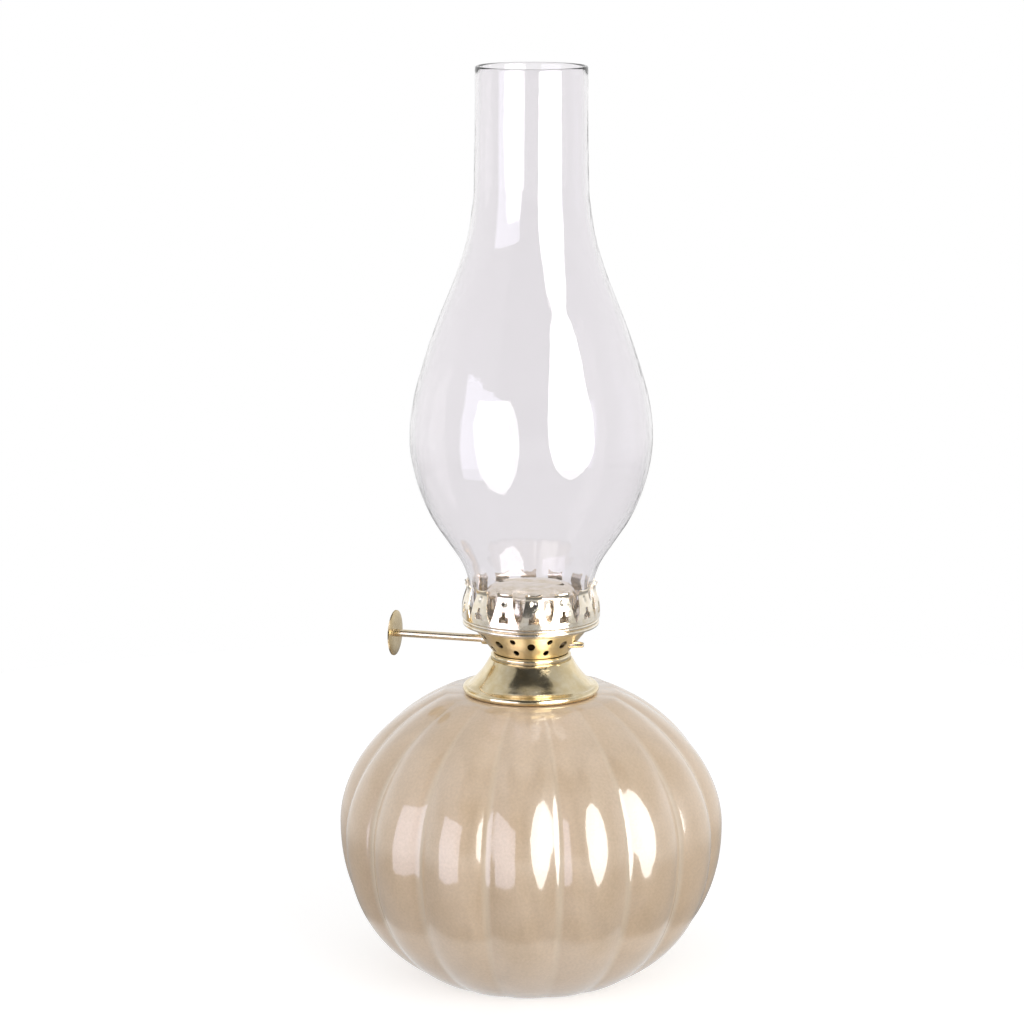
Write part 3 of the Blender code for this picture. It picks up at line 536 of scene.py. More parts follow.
def collar_outline():
    """Outside of the cone, down over the bead, and back up inside."""
    low, high = foot("collar_cone"), top("collar_cone")
    bead = 1.5 * MM
    lip_radius = 17.4 * MM
    thread_radius = reach("collar_thread_ring") + 0.1 * MM
    cone_foot = 24.5 * MM
    step = 26.4 * MM
    step_rise = 1.4 * MM
    bead_middle = (reach("collar_cone") - bead, low + bead)
    slope_top = (lip_radius, high - SHEET / 2)
    slope_foot = (cone_foot, low + 2 * bead + step_rise)
    outer = [(lip_radius - SHEET / 2, high), slope_top]
    for i in range(1, 9):
        share = i / 9
        sag = 0.35 * MM * math.sin(math.pi * share)
        outer.append(tuple(a + share * (b - a) - sag for a, b in zip(slope_top, slope_foot)))
    outer += [slope_foot, (cone_foot + 0.6 * MM, slope_foot[1] - 0.7 * MM), (step, low + 2 * bead)]
    outer += arc(bead_middle, bead, 95, -90, 14)
    inner = [
        (bead_middle[0] - bead / 2, low),
        (step - SHEET, low + 2 * bead - SHEET),
        (cone_foot - SHEET, slope_foot[1] - SHEET),
        (lip_radius - SHEET, high - SHEET),
        (thread_radius, high - SHEET / 2),
        (thread_radius, high),
    ]
    return outer + inner


collar = mesh_of("collar_spun_cone", turned(collar_outline(), ROUND_SIDES))
put(collar, "font", polished_brass, "polished_brass", "collar_cone")

# %% [markdown]
# ## The seat bead and the air basket
#
# The burner sits on the collar with a rounded bead, whose short skirt closes on the collar. Above it the
# basket is a cone of sheet with three rows of punched holes, which let air in to the flame, and an upright
# lip that carries the gallery. The holes are cut with oval tools that stand square to the cone. Where the
# spindle passes, its bush takes a hole's place.

# %% Seat bead and air basket
SECTORS = 9
HOLE_ROWS = ((0.0, 0.55, 3.3 * MM), (0.5, 0.26, 2.4 * MM), (0.5, 0.76, 2.4 * MM))
HOLE_STRETCH_SHARE = 1.4
WICK_YAW = math.radians(16)
SPINDLE_OFFSET = 5 * MM
BASKET_FOOT_RADIUS = 15.5 * MM
BASKET_LIP_RISE = 3.9 * MM
BASKET_LIP_ROLL = 1.2 * MM
PUNCH_LENGTH = 4 * MM
BUSH_CLEARANCE = 2.6 * MM
BUSH_TUNNEL_RADIUS = 2.65 * MM
NOSE_TUNNEL_RADIUS = 1.85 * MM
TUNNEL_AT_MM = 21
TUNNEL_LENGTH = 10 * MM

spindle_middle = Matrix.Rotation(-WICK_YAW, 3, "Z") @ Vector((0, -SPINDLE_OFFSET, 0))
spindle_middle.z = (foot("wick_spindle") + top("wick_spindle")) / 2
along = Vector((math.cos(WICK_YAW), -math.sin(WICK_YAW), 0))
spindle_turn = along.to_track_quat("Z", "Y").to_matrix().to_4x4()


def seat_outline():
    """A rounded ring with a short skirt that closes on the collar."""
    low, high = top("collar_cone"), top("burner_seat_bead")
    roll = 1.0 * MM
    bore = 14.4 * MM
    wide = 16.75 * MM
    middle = (wide - roll, high - roll)
    return [(bore, high)] + arc(middle, roll, 90, -30, 12) + [(wide - 0.2 * MM, low), (bore, low)]


def rod(radius, length, sides, matrix):
    """A closed cylinder, centred on its own middle and put in place by the matrix."""
    shape = bmesh.new()
    bmesh.ops.create_cone(
        shape, cap_ends=True, segments=sides, radius1=radius, radius2=radius, depth=length, matrix=matrix
    )
    return shape


def joined(shapes):
    """One bmesh of several."""
    whole = bmesh.new()
    for shape in shapes:
        held = bpy.data.meshes.new("held")
        shape.to_mesh(held)
        shape.free()
        whole.from_mesh(held)
        bpy.data.meshes.remove(held)
    return whole


def basket():
    """The cone with its lip, and its holes cut."""
    low, high = foot("air_basket"), top("air_basket")
    lip = high - BASKET_LIP_RISE
    wide = reach("air_basket")
    flare = wide - BASKET_FOOT_RADIUS
    cone = [(BASKET_FOOT_RADIUS + flare * i / 6, low + (lip - low) * i / 6) for i in range(6)]
    outer = cone + arc((wide - BASKET_LIP_ROLL, lip), BASKET_LIP_ROLL, -38, 0, 5) + [(wide, high)]
    outline = outer + [(x - SHEET * 0.9, z) for x, z in reversed(outer)]
    made = mesh_of("air_basket_cone", turned(outline, 144))
    tools = []
    for sector in range(SECTORS):
        for shift, height_share, diameter in HOLE_ROWS:
            azimuth = math.tau * (sector + shift) / SECTORS - math.pi / 2
            height = low + height_share * (lip - low)
            radius = BASKET_FOOT_RADIUS + height_share * flare
            middle = Vector((radius * math.cos(azimuth), radius * math.sin(azimuth), height))
            room_needed = diameter * HOLE_STRETCH_SHARE / 2 + BUSH_CLEARANCE
            if (middle - spindle_middle).cross(along).length < room_needed:
                continue
            slope = math.atan2(flare, lip - low)
            turn = Matrix.Rotation(azimuth, 4, "Z") @ Matrix.Rotation(math.pi / 2 + slope, 4, "Y")
            stretch = Matrix.Diagonal((HOLE_STRETCH_SHARE, 1, 1, 1))
            place = Matrix.Translation(middle) @ turn @ stretch
            tools.append(rod(diameter / 2, PUNCH_LENGTH, 20, place))
    for side, radius in ((-1, BUSH_TUNNEL_RADIUS), (1, NOSE_TUNNEL_RADIUS)):
        middle = spindle_middle + along * side * TUNNEL_AT_MM * MM
        tools.append(rod(radius, TUNNEL_LENGTH, 24, Matrix.Translation(middle) @ spindle_turn))
    print("basket openings:", len(tools))
    return cut(made, mesh_of("basket_tools", joined(tools)))


seat_bead = mesh_of("seat_bead_ring", turned(seat_outline(), 96))
put(seat_bead, "seat", polished_brass, "polished_brass", "burner_seat_bead")
put(basket(), "burner", satin_brass, "polished_brass", "air_basket")

# %% [markdown]
# ## The spindle and its knob
#
# The spindle is drawn rod. It runs through a short bush in the basket's side, carries the three spurred
# wheels that bite the wick, and tapers to a blunt nose. The knob is a plain pressed disc with a finely
# knurled edge: the notches are 0.6 mm apart. The rod's end is peened over its outer face like a rivet.

# %% Spindle
KNURL_PITCH = 0.6 * MM
KNURL_DEPTH = 0.14 * MM
KNOB_THICKNESS = 1.6 * MM
ROD_RADIUS = 1.55 * MM
RIVET_RADIUS = 2.2 * MM
RIVET_HEIGHT = 1.0 * MM
RIVET_SHARES = ((0, 0), (0.6, 0.1), (0.9, 0.4), (1, 0.7))
ROD_SIDES = 32
knob_low, knob_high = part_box("knob_disc")
knob_radius = (knob_high.z - knob_low.z) / 2
knob_middle = (knob_low + knob_high) / 2
knob_at = (knob_middle - spindle_middle).dot(along)
rod_start = knob_at - KNOB_THICKNESS / 2 - RIVET_HEIGHT
rod_end = 24 * MM


def on_spindle(shape):
    """Lays a shape made about Z along the spindle."""
    bmesh.ops.transform(shape, matrix=Matrix.Translation(spindle_middle) @ spindle_turn, verts=shape.verts)
    return shape


def spindle_rod():
    """The rod, with its low riveted head outside the knob and its tapered nose."""
    nose = 5 * MM
    head = [(RIVET_RADIUS * r, rod_start + RIVET_HEIGHT * h) for r, h in RIVET_SHARES]
    body = [(ROD_RADIUS, head[-1][1]), (ROD_RADIUS, rod_end - nose)]
    tip = [(ROD_RADIUS * 0.72, rod_end - nose * 0.1), (ROD_RADIUS * 0.6, rod_end), (0, rod_end)]
    return turned(head + body + tip, ROD_SIDES)


def knob_disc():
    """A plain disc, slightly domed on both faces, with a knurled edge."""
    half = KNOB_THICKNESS / 2
    edge = 0.45 * half
    rim = knob_radius - 0.25 * MM
    start = ROD_RADIUS + 0.1 * MM
    shares = [i / 8 for i in range(9)]
    face = [(min(start + (rim - ROD_RADIUS) * s, rim), half - (half - edge) * s**4) for s in shares]
    outline = [(r, knob_at + z) for r, z in face] + [(knob_radius, knob_at + edge * 0.8)]
    outline += [(knob_radius, knob_at - edge * 0.8)] + [(r, knob_at - z) for r, z in reversed(face)]
    notches = round(math.tau * knob_radius / KNURL_PITCH)
    print("knurl notches:", notches)

    def knurled(angle, radius, height):
        if radius > knob_radius - 0.1 * MM:
            radius -= KNURL_DEPTH * (0.5 - 0.5 * math.cos(notches * angle))
        return radius, height

    return turned(outline, notches * 4, knurled)


def bush():
    """The short tube in the basket's side that the rod turns in."""
    low_corner, high_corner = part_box("spindle_bush")
    middle = ((low_corner + high_corner) / 2 - spindle_middle).dot(along)
    half = 1.85 * MM
    wide = 2.35 * MM
    bore = ROD_RADIUS + 0.2 * MM
    outline = [(bore, middle - half), (wide - 0.3 * MM, middle - half), (wide, middle - half + 0.3 * MM)]
    outline += [(wide, middle + half), (bore, middle + half)]
    return turned(outline, ROD_SIDES)


for name, shape, sharp, body, finish, node in (
    ("spindle_rod", spindle_rod(), SHARP_DEGREES, "spindle", turned_brass, "wick_spindle"),
    ("knurled_knob", knob_disc(), 28, "spindle", knob_brass, "knob_disc"),
    ("spindle_guide_bush", bush(), SHARP_DEGREES, "burner", turned_brass, "spindle_bush"),
):
    put(mesh_of(name, on_spindle(shape), sharp), body, finish, "polished_brass", node)

# %% [markdown]
# ## The gallery: rim, floor and dome
#
# The rim has two fine beads rolled into it. The floor is a flat ring with a row of air holes. The flame dome
# is a spun cap with a slot for the flame, and a low step where its cap meets its skirt. The slot's long edges
# are turned down and in, so that from the front only its round end looks dark.

# %% Gallery
RIM_BORE = 24.9 * MM
FLOOR_BORE = 19.5 * MM
FLOOR_HOLES = 18
FLOOR_HOLE_RADIUS = 0.9 * MM
FLOOR_HOLE_RING = 22.8 * MM


def rim_outline():
    """Two beads over a flat bore."""
    low, high = foot("gallery_rim"), top("gallery_rim")
    bead = (high - low) / 4
    wide = reach("gallery_rim")
    outline = [(RIM_BORE, high)]
    for row in (1, 3):
        outline += arc((wide - bead, high - row * bead), bead, 85, -85, 8)
    return outline + [(RIM_BORE, low)]


def gallery_floor():
    """The flat ring and its holes."""
    low, high = foot("gallery_floor"), top("gallery_floor")
    wide = reach("gallery_floor")
    flat_ring = turned([(FLOOR_BORE, low), (FLOOR_BORE, high), (wide, high), (wide, low)], 96)
    made = mesh_of("gallery_pierced_floor", flat_ring)
    tools = []
    for i in range(FLOOR_HOLES):
        turn = math.tau * (i + 0.5) / FLOOR_HOLES
        spot = Vector((FLOOR_HOLE_RING * math.cos(turn), FLOOR_HOLE_RING * math.sin(turn), low))
        tools.append(rod(FLOOR_HOLE_RADIUS, 3 * MM, 16, Matrix.Translation(spot)))
    return cut(made, mesh_of("floor_tools", joined(tools)))


DOME_RADIUS = 19.2 * MM
DOME_FLANGE = 2.4 * MM
SLOT_LENGTH = 28 * MM
SLOT_WIDTH = 6 * MM
SLOT_LIP = 1.6 * MM
SLOT_SLANT = 1.2 * MM
# The lip's section: shares of the slant inwards and of the lip's depth down
LIP_SECTION = ((-0.4, 0.15), (0.0, 0.0), (1.0, 1.0), (0.75, 1.2), (-0.4, 0.35))
LIP_REACH_SHARE = 0.46
LIP_STATIONS = 32
# Shares of the dome's height and radius, with the step where the cap meets the skirt
DOME_SHARES = (
    (0.00, 1.0), (0.60, 1.0), (0.625, 0.995), (0.635, 0.97), (0.68, 0.965),
    (0.77, 0.925), (0.87, 0.82), (0.95, 0.62), (0.99, 0.34), (1.0, 0.0),
)


def slot_half(x):
    """Half the slot's width at a place along it."""
    end_radius = SLOT_WIDTH / 2
    past = max(0.0, abs(x) - (SLOT_LENGTH / 2 - end_radius))
    return math.sqrt(max(0.0, end_radius**2 - past**2))


def dome_height(line, away):
    """Height of the dome's outside at a distance from the axis."""
    under = [spot for spot in line if spot[0] >= away][-1]
    over = [spot for spot in line if spot[0] < away][0]
    return over[1] + (away - over[0]) / (under[0] - over[0]) * (under[1] - over[1])


def skin(shape, rings):
    """Joins closed rings of points with faces, and closes both ends."""
    for here, there in zip(rings, rings[1:]):
        for j in range(len(here)):
            k = (j + 1) % len(here)
            shape.faces.new((here[j], here[k], there[k], there[j]))
    shape.faces.new(rings[0])
    shape.faces.new(rings[-1])


def slot_lips(line):
    """The slot's two long edges, turned down and in. They fade out towards its round ends."""
    shape = bmesh.new()
    reach_out = LIP_REACH_SHARE * SLOT_LENGTH
    for side in (1, -1):
        rings = []
        for i in range(LIP_STATIONS + 1):
            x = reach_out * (2 * i / LIP_STATIONS - 1)
            edge = slot_half(x)
            fade = 1 - 0.9 * (abs(x) / reach_out) ** 8
            start = dome_height(line, math.hypot(x, edge))
            ring = []
            for inward, drop in LIP_SECTION:
                y = edge - inward * SLOT_SLANT * (fade if inward > 0 else 1)
                z = start - drop * SLOT_LIP * (fade if inward > 0 else 1)
                ring.append(shape.verts.new((x, side * y, z)))
            rings.append(ring)
        skin(shape, rings)
    return shape


def flame_dome():
    """The cap, its skirt and its flange, with the slot cut through along the wick."""
    low, high = foot("flame_dome"), top("flame_dome")
    base = foot("gallery_floor")
    line = spline([(DOME_RADIUS * r, base + h * (high - base)) for h, r in DOME_SHARES], 5)
    line[-1] = (0, high)
    outer = [(DOME_RADIUS + DOME_FLANGE, low + SHEET), (DOME_RADIUS, low + SHEET)] + line
    inner = inset(line, SHEET)
    inner[-1] = (0, high - SHEET)
    inner = [(DOME_RADIUS + DOME_FLANGE, low), (DOME_RADIUS - SHEET, low)] + inner
    made = mesh_of("flame_dome_cap", turned(outer + inner[::-1], 96))
    places = [SLOT_LENGTH / 2 * math.cos(math.pi * i / 24) for i in range(25)]
    loop = [(x, slot_half(x)) for x in places] + [(x, -slot_half(x)) for x in places[-2:0:-1]]
    tool = bmesh.new()
    rings = []
    for z in (base + (high - base) / 2, high + SLOT_LIP):
        rings.append([tool.verts.new((x, y, z)) for x, y in loop])
        tool.faces.new(rings[-1])
    for i in range(len(loop)):
        j = (i + 1) % len(loop)
        tool.faces.new((rings[0][i], rings[0][j], rings[1][j], rings[1][i]))
    along_wick = Matrix.Rotation(-WICK_YAW, 3, "Z")
    bmesh.ops.rotate(tool, cent=(0, 0, 0), matrix=along_wick, verts=tool.verts)
    made = cut(made, mesh_of("slot_tool", tool))
    lips = slot_lips(line)
    bmesh.ops.rotate(lips, cent=(0, 0, 0), matrix=along_wick, verts=lips.verts)
    capped = bmesh.new()
    capped.from_mesh(made.data)
    bpy.data.objects.remove(made)
    return mesh_of("flame_dome_cap", joined([capped, lips]))


rim = mesh_of("gallery_beaded_rim", turned(rim_outline(), ROUND_SIDES))
for piece, node in ((rim, "gallery_rim"), (gallery_floor(), "gallery_floor"), (flame_dome(), "flame_dome")):
    put(piece, "gallery", pressed_brass, "polished_brass", node)

# %% [markdown]
# ## The crown of prongs
#
# The crown is one strip of springy sheet, pierced and bent into a ring. Each prong has a keyhole at its root,
# leans in to a neck that grips the glass, has a round dimple pressed into that neck, and curls out at its
# tip, which is notched like a fish's tail. The strip is laid out as a coarse cage of faces with gaps for the
# keyholes and slits. Subdivision rounds the gaps as a punch would, and the dimples are pressed in after that.

# %% Crown
PRONGS = 14
PRONG_TURN = math.radians(2.1)
PRONG_HALF = math.pi / PRONGS
CROWN_SHEET = 0.45 * MM
CROWN_FLARE = 1.0 * MM
# Each row: share of the height, share of the lean, half width of the prong and of its keyhole in shares
CROWN_ROWS = (
    (0.00, 0.00, 1.00, 0.33),
    (0.08, 0.00, 1.00, 0.33),
    (0.12, 0.00, 0.95, 0.33),
    (0.155, 0.01, 0.92, 0.33),
    (0.30, 0.05, 0.77, 0.33),
    (0.33, 0.06, 0.75, 0.13),
    (0.46, 0.22, 0.69, 0.11),
    (0.58, 0.50, 0.63, 0.11),
    (0.68, 0.78, 0.58, 0.11),
    (0.76, 0.96, 0.56, 0.11),
    (0.84, 1.00, 0.55, 0.11),
    (0.93, 0.80, 0.57, 0.11),
    (1.00, 0.50, 0.55, 0.11),
)
KEYHOLE = (3, 4, 5)
SHARP_ROWS = (3, 4, 5, 6)
KEYHOLE_CREASE = 0.7
TIP_NOTCH = 0.9 * MM
DIMPLE_SHARE = 0.68
DIMPLE_RADIUS = 1.8 * MM
DIMPLE_DEPTH = 0.4 * MM


def prong_crown():
    """The cage, rounded, dimpled and given its sheet thickness."""
    base = foot("prong_crown")
    height = top("prong_crown") - base
    root = reach("prong_crown")
    neck = 26.4 * MM
    shape = bmesh.new()
    creases = shape.verts.layers.float.new("crease_vert")
    strips = []
    for prong in range(PRONGS):
        middle = PRONG_TURN - math.pi / 2 + 2 * PRONG_HALF * prong
        rows = []
        for height_share, lean, width, hole in CROWN_ROWS:
            radius = root - lean * (root - neck)
            if height_share > 0.8:
                radius = neck + (1 - lean) / (1 - CROWN_ROWS[-1][1]) * CROWN_FLARE
            turns = [-width, -(width + hole) / 2, -hole, hole, (width + hole) / 2, width]
            if width == 1:
                turns = turns[:-1]
            row = []
            for t in turns:
                angle = middle + t * PRONG_HALF
                notch = TIP_NOTCH if height_share == 1 and abs(t) < width else 0
                z = base + height_share * height - notch
                row.append(shape.verts.new((radius * math.cos(angle), radius * math.sin(angle), z)))
            rows.append(row)
        for i in SHARP_ROWS:
            for side in (2, 3):
                rows[i][side][creases] = KEYHOLE_CREASE
        strips.append(rows)
    for prong, rows in enumerate(strips):
        following = strips[(prong + 1) % PRONGS]
        full = [row if len(row) == 6 else row + [after[0]] for row, after in zip(rows, following)]
        for i, (low, high) in enumerate(zip(full, full[1:])):
            for j in range(5):
                if j == 2 and i in KEYHOLE:
                    continue
                shape.faces.new((low[j], low[j + 1], high[j + 1], high[j]))
    made = mesh_of("crown_of_prongs", shape)
    rounding = made.modifiers.new("rounding", "SUBSURF")
    rounding.levels = 3
    rounding.render_levels = 3
    settle(made)
    for corner in made.data.vertices:
        flat = Vector((corner.co.x, corner.co.y, 0))
        turn = math.atan2(flat.y, flat.x) - PRONG_TURN + math.pi / 2
        off = (turn + PRONG_HALF) % (2 * PRONG_HALF) - PRONG_HALF
        away = math.hypot(off * flat.length, corner.co.z - base - DIMPLE_SHARE * height)
        if away < DIMPLE_RADIUS:
            press = DIMPLE_DEPTH * (0.5 + 0.5 * math.cos(math.pi * away / DIMPLE_RADIUS))
            corner.co -= flat.normalized() * press
    sheet = made.modifiers.new("sheet", "SOLIDIFY")
    sheet.thickness = CROWN_SHEET
    sheet.offset = -1
    settle(made)
    smooth(made.data, 40)
    return made


put(prong_crown(), "gallery", pressed_brass, "polished_brass", "prong_crown")

# %% [markdown]
# ## The wick
#
# The wick is a flat braid, 22 mm wide. It hangs down through its tube into the font. It fills most of the
# tube, so it stays flat there, and only sways a little below it.

# %% Wick
WICK_WIDTH = 22 * MM
WICK_THICKNESS = 2.1 * MM
WICK_SWAY = 0.5 * MM


def wick():
    """A thin slab with rounded edges and a gentle sway below the tube."""
    low, high = foot("flat_wick"), top("flat_wick")
    tube_foot = foot("wick_tube")
    shape = bmesh.new()
    rings = []
    rows = 60
    for i in range(rows + 1):
        z = low + (high - low) * i / rows
        below = max(0.0, (tube_foot - z) / (tube_foot - low))
        sway = WICK_SWAY * below * math.sin(below * 5)
        ring = []
        half = WICK_WIDTH / 2
        thick = WICK_THICKNESS / 2
        loop = [(x / 6 * (half - thick), -thick) for x in range(-6, 7)]
        loop += [(half - thick * 0.3, -thick * 0.7), (half, 0), (half - thick * 0.3, thick * 0.7)]
        loop += [(x / 6 * (half - thick), thick) for x in range(6, -7, -1)]
        loop += [(thick * 0.3 - half, thick * 0.7), (-half, 0), (thick * 0.3 - half, -thick * 0.7)]
        for x, y in loop:
            ring.append(shape.verts.new((x, y + sway, z)))
        rings.append(ring)
    skin(shape, rings)
    bmesh.ops.rotate(shape, cent=(0, 0, 0), matrix=Matrix.Rotation(-WICK_YAW, 3, "Z"), verts=shape.verts)
    return mesh_of("flat_cotton_wick", shape, 50)


braid = put(wick(), "wick", cotton, "woven_cotton", "flat_wick")

# %% [markdown]
# ## The chimney
#
# The chimney stands on the gallery floor. A straight foot slides inside the prongs, the belly gives the flame
# room, and the long neck draws the air. Its line is a spline through a few chosen shares of the rise and of
# the swell. The top is fire-polished, which leaves it round. The walls wave a little, as blown glass does,
# and bend what is seen through them.

# %% Chimney
CHIMNEY_WALL = 1.6 * MM
CHIMNEY_FOOT_RADIUS = 25.6 * MM
CHIMNEY_FOOT_RISE = 12.5 * MM
BELLY_RISE = 62 * MM
NECK_RISE = 106.5 * MM
CHIMNEY_NECK_RADIUS = 23.4 * MM
CHIMNEY_TOP_RADIUS = 22.9 * MM
LOWER_SHARES = ((0, 0), (0.15, 0.125), (0.30, 0.37), (0.45, 0.62), (0.62, 0.815), (0.81, 0.95), (1, 1))
UPPER_SHARES = (
    (0.14, 0.945), (0.30, 0.775), (0.46, 0.555), (0.61, 0.315),
    (0.76, 0.12), (0.90, 0.025), (1, 0),
)
WAVE_SIZE = 22 * MM
WAVE_DEPTH = 0.22 * MM
WAVE_STRETCH_SHARE = 0.6


def chimney():
    """Outer line, fire-polished top, inner line and foot."""
    low, high = foot("chimney_glass"), top("chimney_glass")
    belly_radius = reach("chimney_glass")
    waist = low + CHIMNEY_FOOT_RISE
    belly = waist + BELLY_RISE
    points = [(CHIMNEY_FOOT_RADIUS, low), (CHIMNEY_FOOT_RADIUS, low + CHIMNEY_FOOT_RISE * 0.6)]
    for rise, swell in LOWER_SHARES:
        radius = CHIMNEY_FOOT_RADIUS + swell * (belly_radius - CHIMNEY_FOOT_RADIUS)
        points.append((radius, waist + rise * BELLY_RISE))
    for rise, swell in UPPER_SHARES:
        radius = CHIMNEY_NECK_RADIUS + swell * (belly_radius - CHIMNEY_NECK_RADIUS)
        points.append((radius, belly + rise * NECK_RISE))
    points.append((CHIMNEY_TOP_RADIUS, high - CHIMNEY_WALL / 2))
    outer = spline(points, 8)
    inner = inset(outer, CHIMNEY_WALL)
    lip = CHIMNEY_WALL / 2
    polished = arc((CHIMNEY_TOP_RADIUS - lip, high - lip), lip, 20, 160, 6)
    inner[0] = (CHIMNEY_FOOT_RADIUS - CHIMNEY_WALL, low)

    def waved(angle, radius, height):
        spot = Vector((radius * math.cos(angle), radius * math.sin(angle), height * WAVE_STRETCH_SHARE))
        spot /= WAVE_SIZE
        free = min(1.0, (height - low) / CHIMNEY_FOOT_RISE, (high - height) / CHIMNEY_WALL)
        return radius + WAVE_DEPTH * noise.noise(spot) * free, height

    return mesh_of("chimney_blown_glass", turned(outer + polished + inner[::-1], 160, waved), 60)


put(chimney(), "chimney", clear, "clear_glass", "chimney_glass")

# %% [markdown]
# ## Finishes of the solids that stay
#
# The pieces inside the burner and the collar keep the shape of their solids. They get the finish of their
# real material: plaster between the collar and the glass, and brass inside the burner, darkened by painted
# shade.

# %% Inner pieces
# The burner's inner pieces get the brass whose dark colour is painted shade.
INSIDE_BURNER = ["burner_screw_ring", "burner_floor", "vent_tube", "wick_tube", "wheel_cover"]
INSIDE_BURNER += ["spur_wheel_knob_side", "spur_wheel_middle", "spur_wheel_far_side"]
STAYING = {
    "collar_plaster": (plaster, "plaster"),
    "collar_thread_ring": (polished_brass, "polished_brass"),
    **{name: (painted_shade_brass, "polished_brass") for name in INSIDE_BURNER},
}
for name, (finish, slot) in STAYING.items():
    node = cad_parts[name]
    node.data.materials.clear()
    node.data.materials.append(finish)
print("solids that stay:", len(STAYING))

# %% [markdown]
# ## The floor
#
# A plain white table takes the lamp's soft shadow: it is lit like paper, and glows for what looks
# straight at it, so that it melts into the white around it. Metal and glass mirror only a small table that
# ends close round the lamp. Past it they mirror the dim room and the lower ends of the lights, as they would
# on a photographer's stand.

# %% Floor
FLOOR_RADIUS = 0.6
PAPER = 0.62
PAPER_GLOW = 0.60
MIRRORED_EDGE = 0.092
MIRRORED_BLUR = 0.004
MIRRORED_GLOW = 0.8


def straight_ray(tree, seen):
    """1 for what the camera sees directly or through glass."""
    rays = {0: seen.outputs["Is Camera Ray"], 1: seen.outputs["Is Transmission Ray"]}
    return add(tree, "Math", {"operation": "MAXIMUM"}, rays).outputs[0]


def mirror_ray(tree, seen):
    """1 for what a glossy surface mirrors."""
    clear_of = add(tree, "Math", {"operation": "SUBTRACT", 0: 1.0}, {1: seen.outputs["Is Transmission Ray"]})
    rays = {0: seen.outputs["Is Glossy Ray"], 1: clear_of.outputs[0]}
    return add(tree, "Math", MULTIPLY, rays).outputs[0]


bpy.ops.mesh.primitive_circle_add(vertices=96, radius=FLOOR_RADIUS, fill_type="NGON", location=(0, 0, 0))
floor = bpy.context.object
floor.name = "floor"
white_floor = bpy.data.materials.new("white_paper_floor")
white_floor.use_nodes = True
tree = white_floor.node_tree
tree.nodes.clear()
seen = add(tree, "LightPath")
spot = add(tree, "TexCoord")
distance = add(tree, "VectorMath", {"operation": "LENGTH"}, {0: spot.outputs["Object"]})
beyond = add(
    tree,
    "MapRange",
    {"From Min": MIRRORED_EDGE - MIRRORED_BLUR, "From Max": MIRRORED_EDGE + MIRRORED_BLUR},
    {"Value": distance.outputs["Value"]},
)
white = add(tree, "Emission", {"Strength": MIRRORED_GLOW})
open_way = add(tree, "BsdfTransparent")
mirrored = add(tree, "MixShader", {}, {0: beyond.outputs[0], 1: white.outputs[0], 2: open_way.outputs[0]})
glow = add(tree, "Math", {"operation": "MULTIPLY", 1: PAPER_GLOW}, {0: straight_ray(tree, seen)})
shining = add(tree, "Emission", {}, {"Strength": glow.outputs[0]})
paper = add(tree, "BsdfDiffuse", {"Color": (PAPER, PAPER, PAPER, 1)})
lit = add(tree, "AddShader", {}, {0: paper.outputs[0], 1: shining.outputs[0]})
both = add(tree, "MixShader", {}, {0: mirror_ray(tree, seen), 1: lit.outputs[0], 2: mirrored.outputs[0]})
add(tree, "OutputMaterial", {}, {"Surface": both.outputs[0]})
floor.data.materials.append(white_floor)
print("floor radius in m:", FLOOR_RADIUS)

# %% [markdown]
# ## The light
#
# What is seen directly or through glass is white. Metal and glass also mirror the studio: it is pale behind
# the lamp and at the sides. In front, between the two soft boxes and above the table, it has a dark gap,
# which gives polished brass its dark patches. Its walls are brightest round the horizon and dim below the
# table. A tall soft box stands to the right of the camera and a cooler, dimmer one to the left. Each box is
# two lights in one direction: a bright one that only shows in reflections, and a softer one that only lights.

# %% World
AMBIENT = 0.62
WALL_BRIGHTNESS = 1.35
GAP_LIGHT = 0.12
# Each part of the room: the component of the mirrored direction that it fades along, the two values that
# it fades between, and the share of light at each of them. The side is how far the way leads left or right.
ROOM = {
    "depth": ("ahead", (-0.5, 0.4), (0.45, 0.75)),
    "gap_side": ("side", (0.50, 0.56), (1.0, 0.0)),
    "gap_front": ("ahead", (-0.22, -0.10), (1.0, 0.0)),
    "gap_top": ("up", (0.90, 0.96), (1.0, 0.0)),
    "gap_foot": ("up", (-0.06, 0.08), (0.0, 1.0)),
    "wall_foot": ("up", (-0.22, -0.12), (0.0, 1.0)),
    "wall_top": ("up", (0.20, 0.45), (1.0, 0.0)),
    "below_table": ("up", (-0.34, -0.22), (0.45, 1.0)),
}

world = bpy.data.worlds.new("studio")
bpy.context.scene.world = world
world.use_nodes = True
tree = world.node_tree
tree.nodes.clear()
seen = add(tree, "LightPath")
way = add(tree, "TexCoord")
right, ahead, up = add(tree, "SeparateXYZ", {}, {"Vector": way.outputs["Generated"]}).outputs
side = add(tree, "Math", {"operation": "ABSOLUTE"}, {0: right}).outputs[0]
ways = {"side": side, "ahead": ahead, "up": up}
part = {}
for name, (component, (low, high), (first, last)) in ROOM.items():
    fade = {"interpolation_type": "SMOOTHSTEP", "From Min": low, "From Max": high}
    fade.update({"To Min": first, "To Max": last})
    part[name] = add(tree, "MapRange", fade, {"Value": ways[component]}).outputs[0]
gap_width = add(tree, "Math", MULTIPLY, {0: part["gap_side"], 1: part["gap_front"]})
gap_height = add(tree, "Math", MULTIPLY, {0: part["gap_top"], 1: part["gap_foot"]})
gap = add(tree, "Math", MULTIPLY, {0: gap_width.outputs[0], 1: gap_height.outputs[0]})
shade = add(tree, "MapRange", {"To Min": 1.0, "To Max": GAP_LIGHT}, {"Value": gap.outputs[0]})
wall_band = add(tree, "Math", MULTIPLY, {0: part["wall_foot"], 1: part["wall_top"]})
brighter = {"interpolation_type": "SMOOTHSTEP", "To Min": 1.0, "To Max": WALL_BRIGHTNESS}
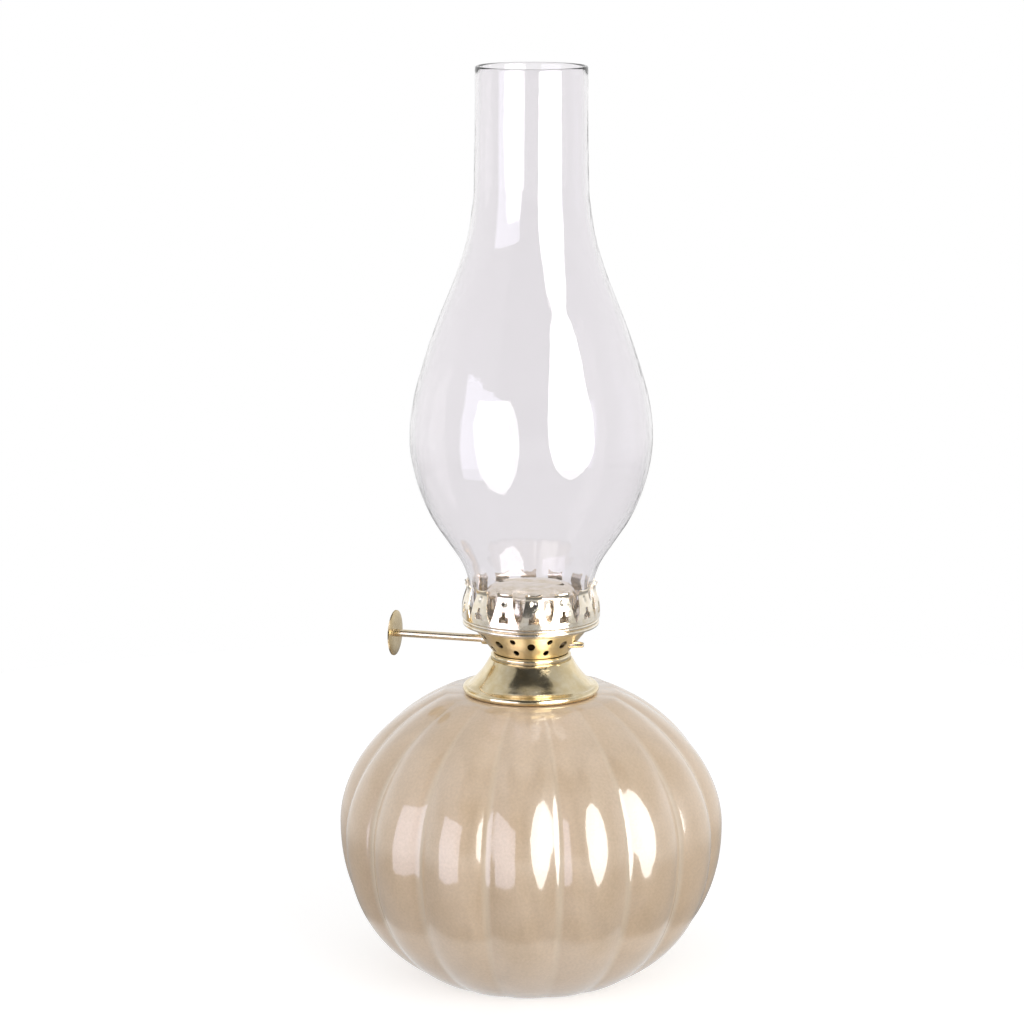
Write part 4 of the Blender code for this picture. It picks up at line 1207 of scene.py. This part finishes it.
wall = add(tree, "MapRange", brighter, {"Value": wall_band.outputs[0]})
lit_room = add(tree, "Math", MULTIPLY, {0: part["depth"], 1: wall.outputs[0]})
dim_room = add(tree, "Math", MULTIPLY, {0: shade.outputs[0], 1: part["below_table"]})
mirrored = add(tree, "Math", MULTIPLY, {0: lit_room.outputs[0], 1: dim_room.outputs[0]})
plain = add(tree, "MapRange", {"To Min": AMBIENT, "To Max": 1.0}, {"Value": straight_ray(tree, seen)})
strength = add(tree, "Mix", {}, {0: mirror_ray(tree, seen), 2: plain.outputs[0], 3: mirrored.outputs[0]})
background = add(tree, "Background", {"Color": (1, 1, 1, 1)}, {"Strength": strength.outputs[0]})
add(tree, "OutputWorld", {}, {"Surface": background.outputs[0]})


# %% Soft boxes
BOX_DISTANCE = 1.1
BOX_WIDTH = 1.0


def soft_box(name, azimuth, shape, width, low, high, radiance, code, mirrored_only):
    """A light that faces the lamp's axis. Azimuth 0 is the camera's side and 90 is to its right."""
    lamp = bpy.data.lights.new(name, "AREA")
    lamp.shape = shape
    lamp.size = width
    lamp.size_y = high - low
    face = width * (high - low) * (1 if shape == "RECTANGLE" else math.pi / 4)
    lamp.energy = radiance * math.pi * face
    lamp.color = colour(code)[:3]
    made = bpy.data.objects.new(name, lamp)
    turn = math.radians(azimuth)
    made.location = (BOX_DISTANCE * math.sin(turn), -BOX_DISTANCE * math.cos(turn), (low + high) / 2)
    made.rotation_euler = (math.pi / 2, 0, turn)
    made.visible_camera = False
    made.visible_diffuse = not mirrored_only
    made.visible_glossy = mirrored_only
    made.visible_transmission = mirrored_only
    bpy.context.scene.collection.objects.link(made)
    print(name, "radiance", radiance, "watts", round(lamp.energy, 1))


soft_box("right_box_mirrored", 38, "ELLIPSE", BOX_WIDTH, -0.36, 1.12, 6.0, "#FFFDFA", True)
soft_box("left_box_mirrored", -46, "RECTANGLE", BOX_WIDTH, -0.36, 0.66, 2.4, "#E6E4F8", True)
soft_box("right_box_light", 38, "ELLIPSE", BOX_WIDTH, 0.0, 0.90, 3.3, "#FFFEFC", False)
soft_box("left_box_light", -46, "RECTANGLE", BOX_WIDTH, 0.0, 0.60, 2.3, "#F8F8FF", False)

bpy.context.scene.view_settings.view_transform = "Standard"
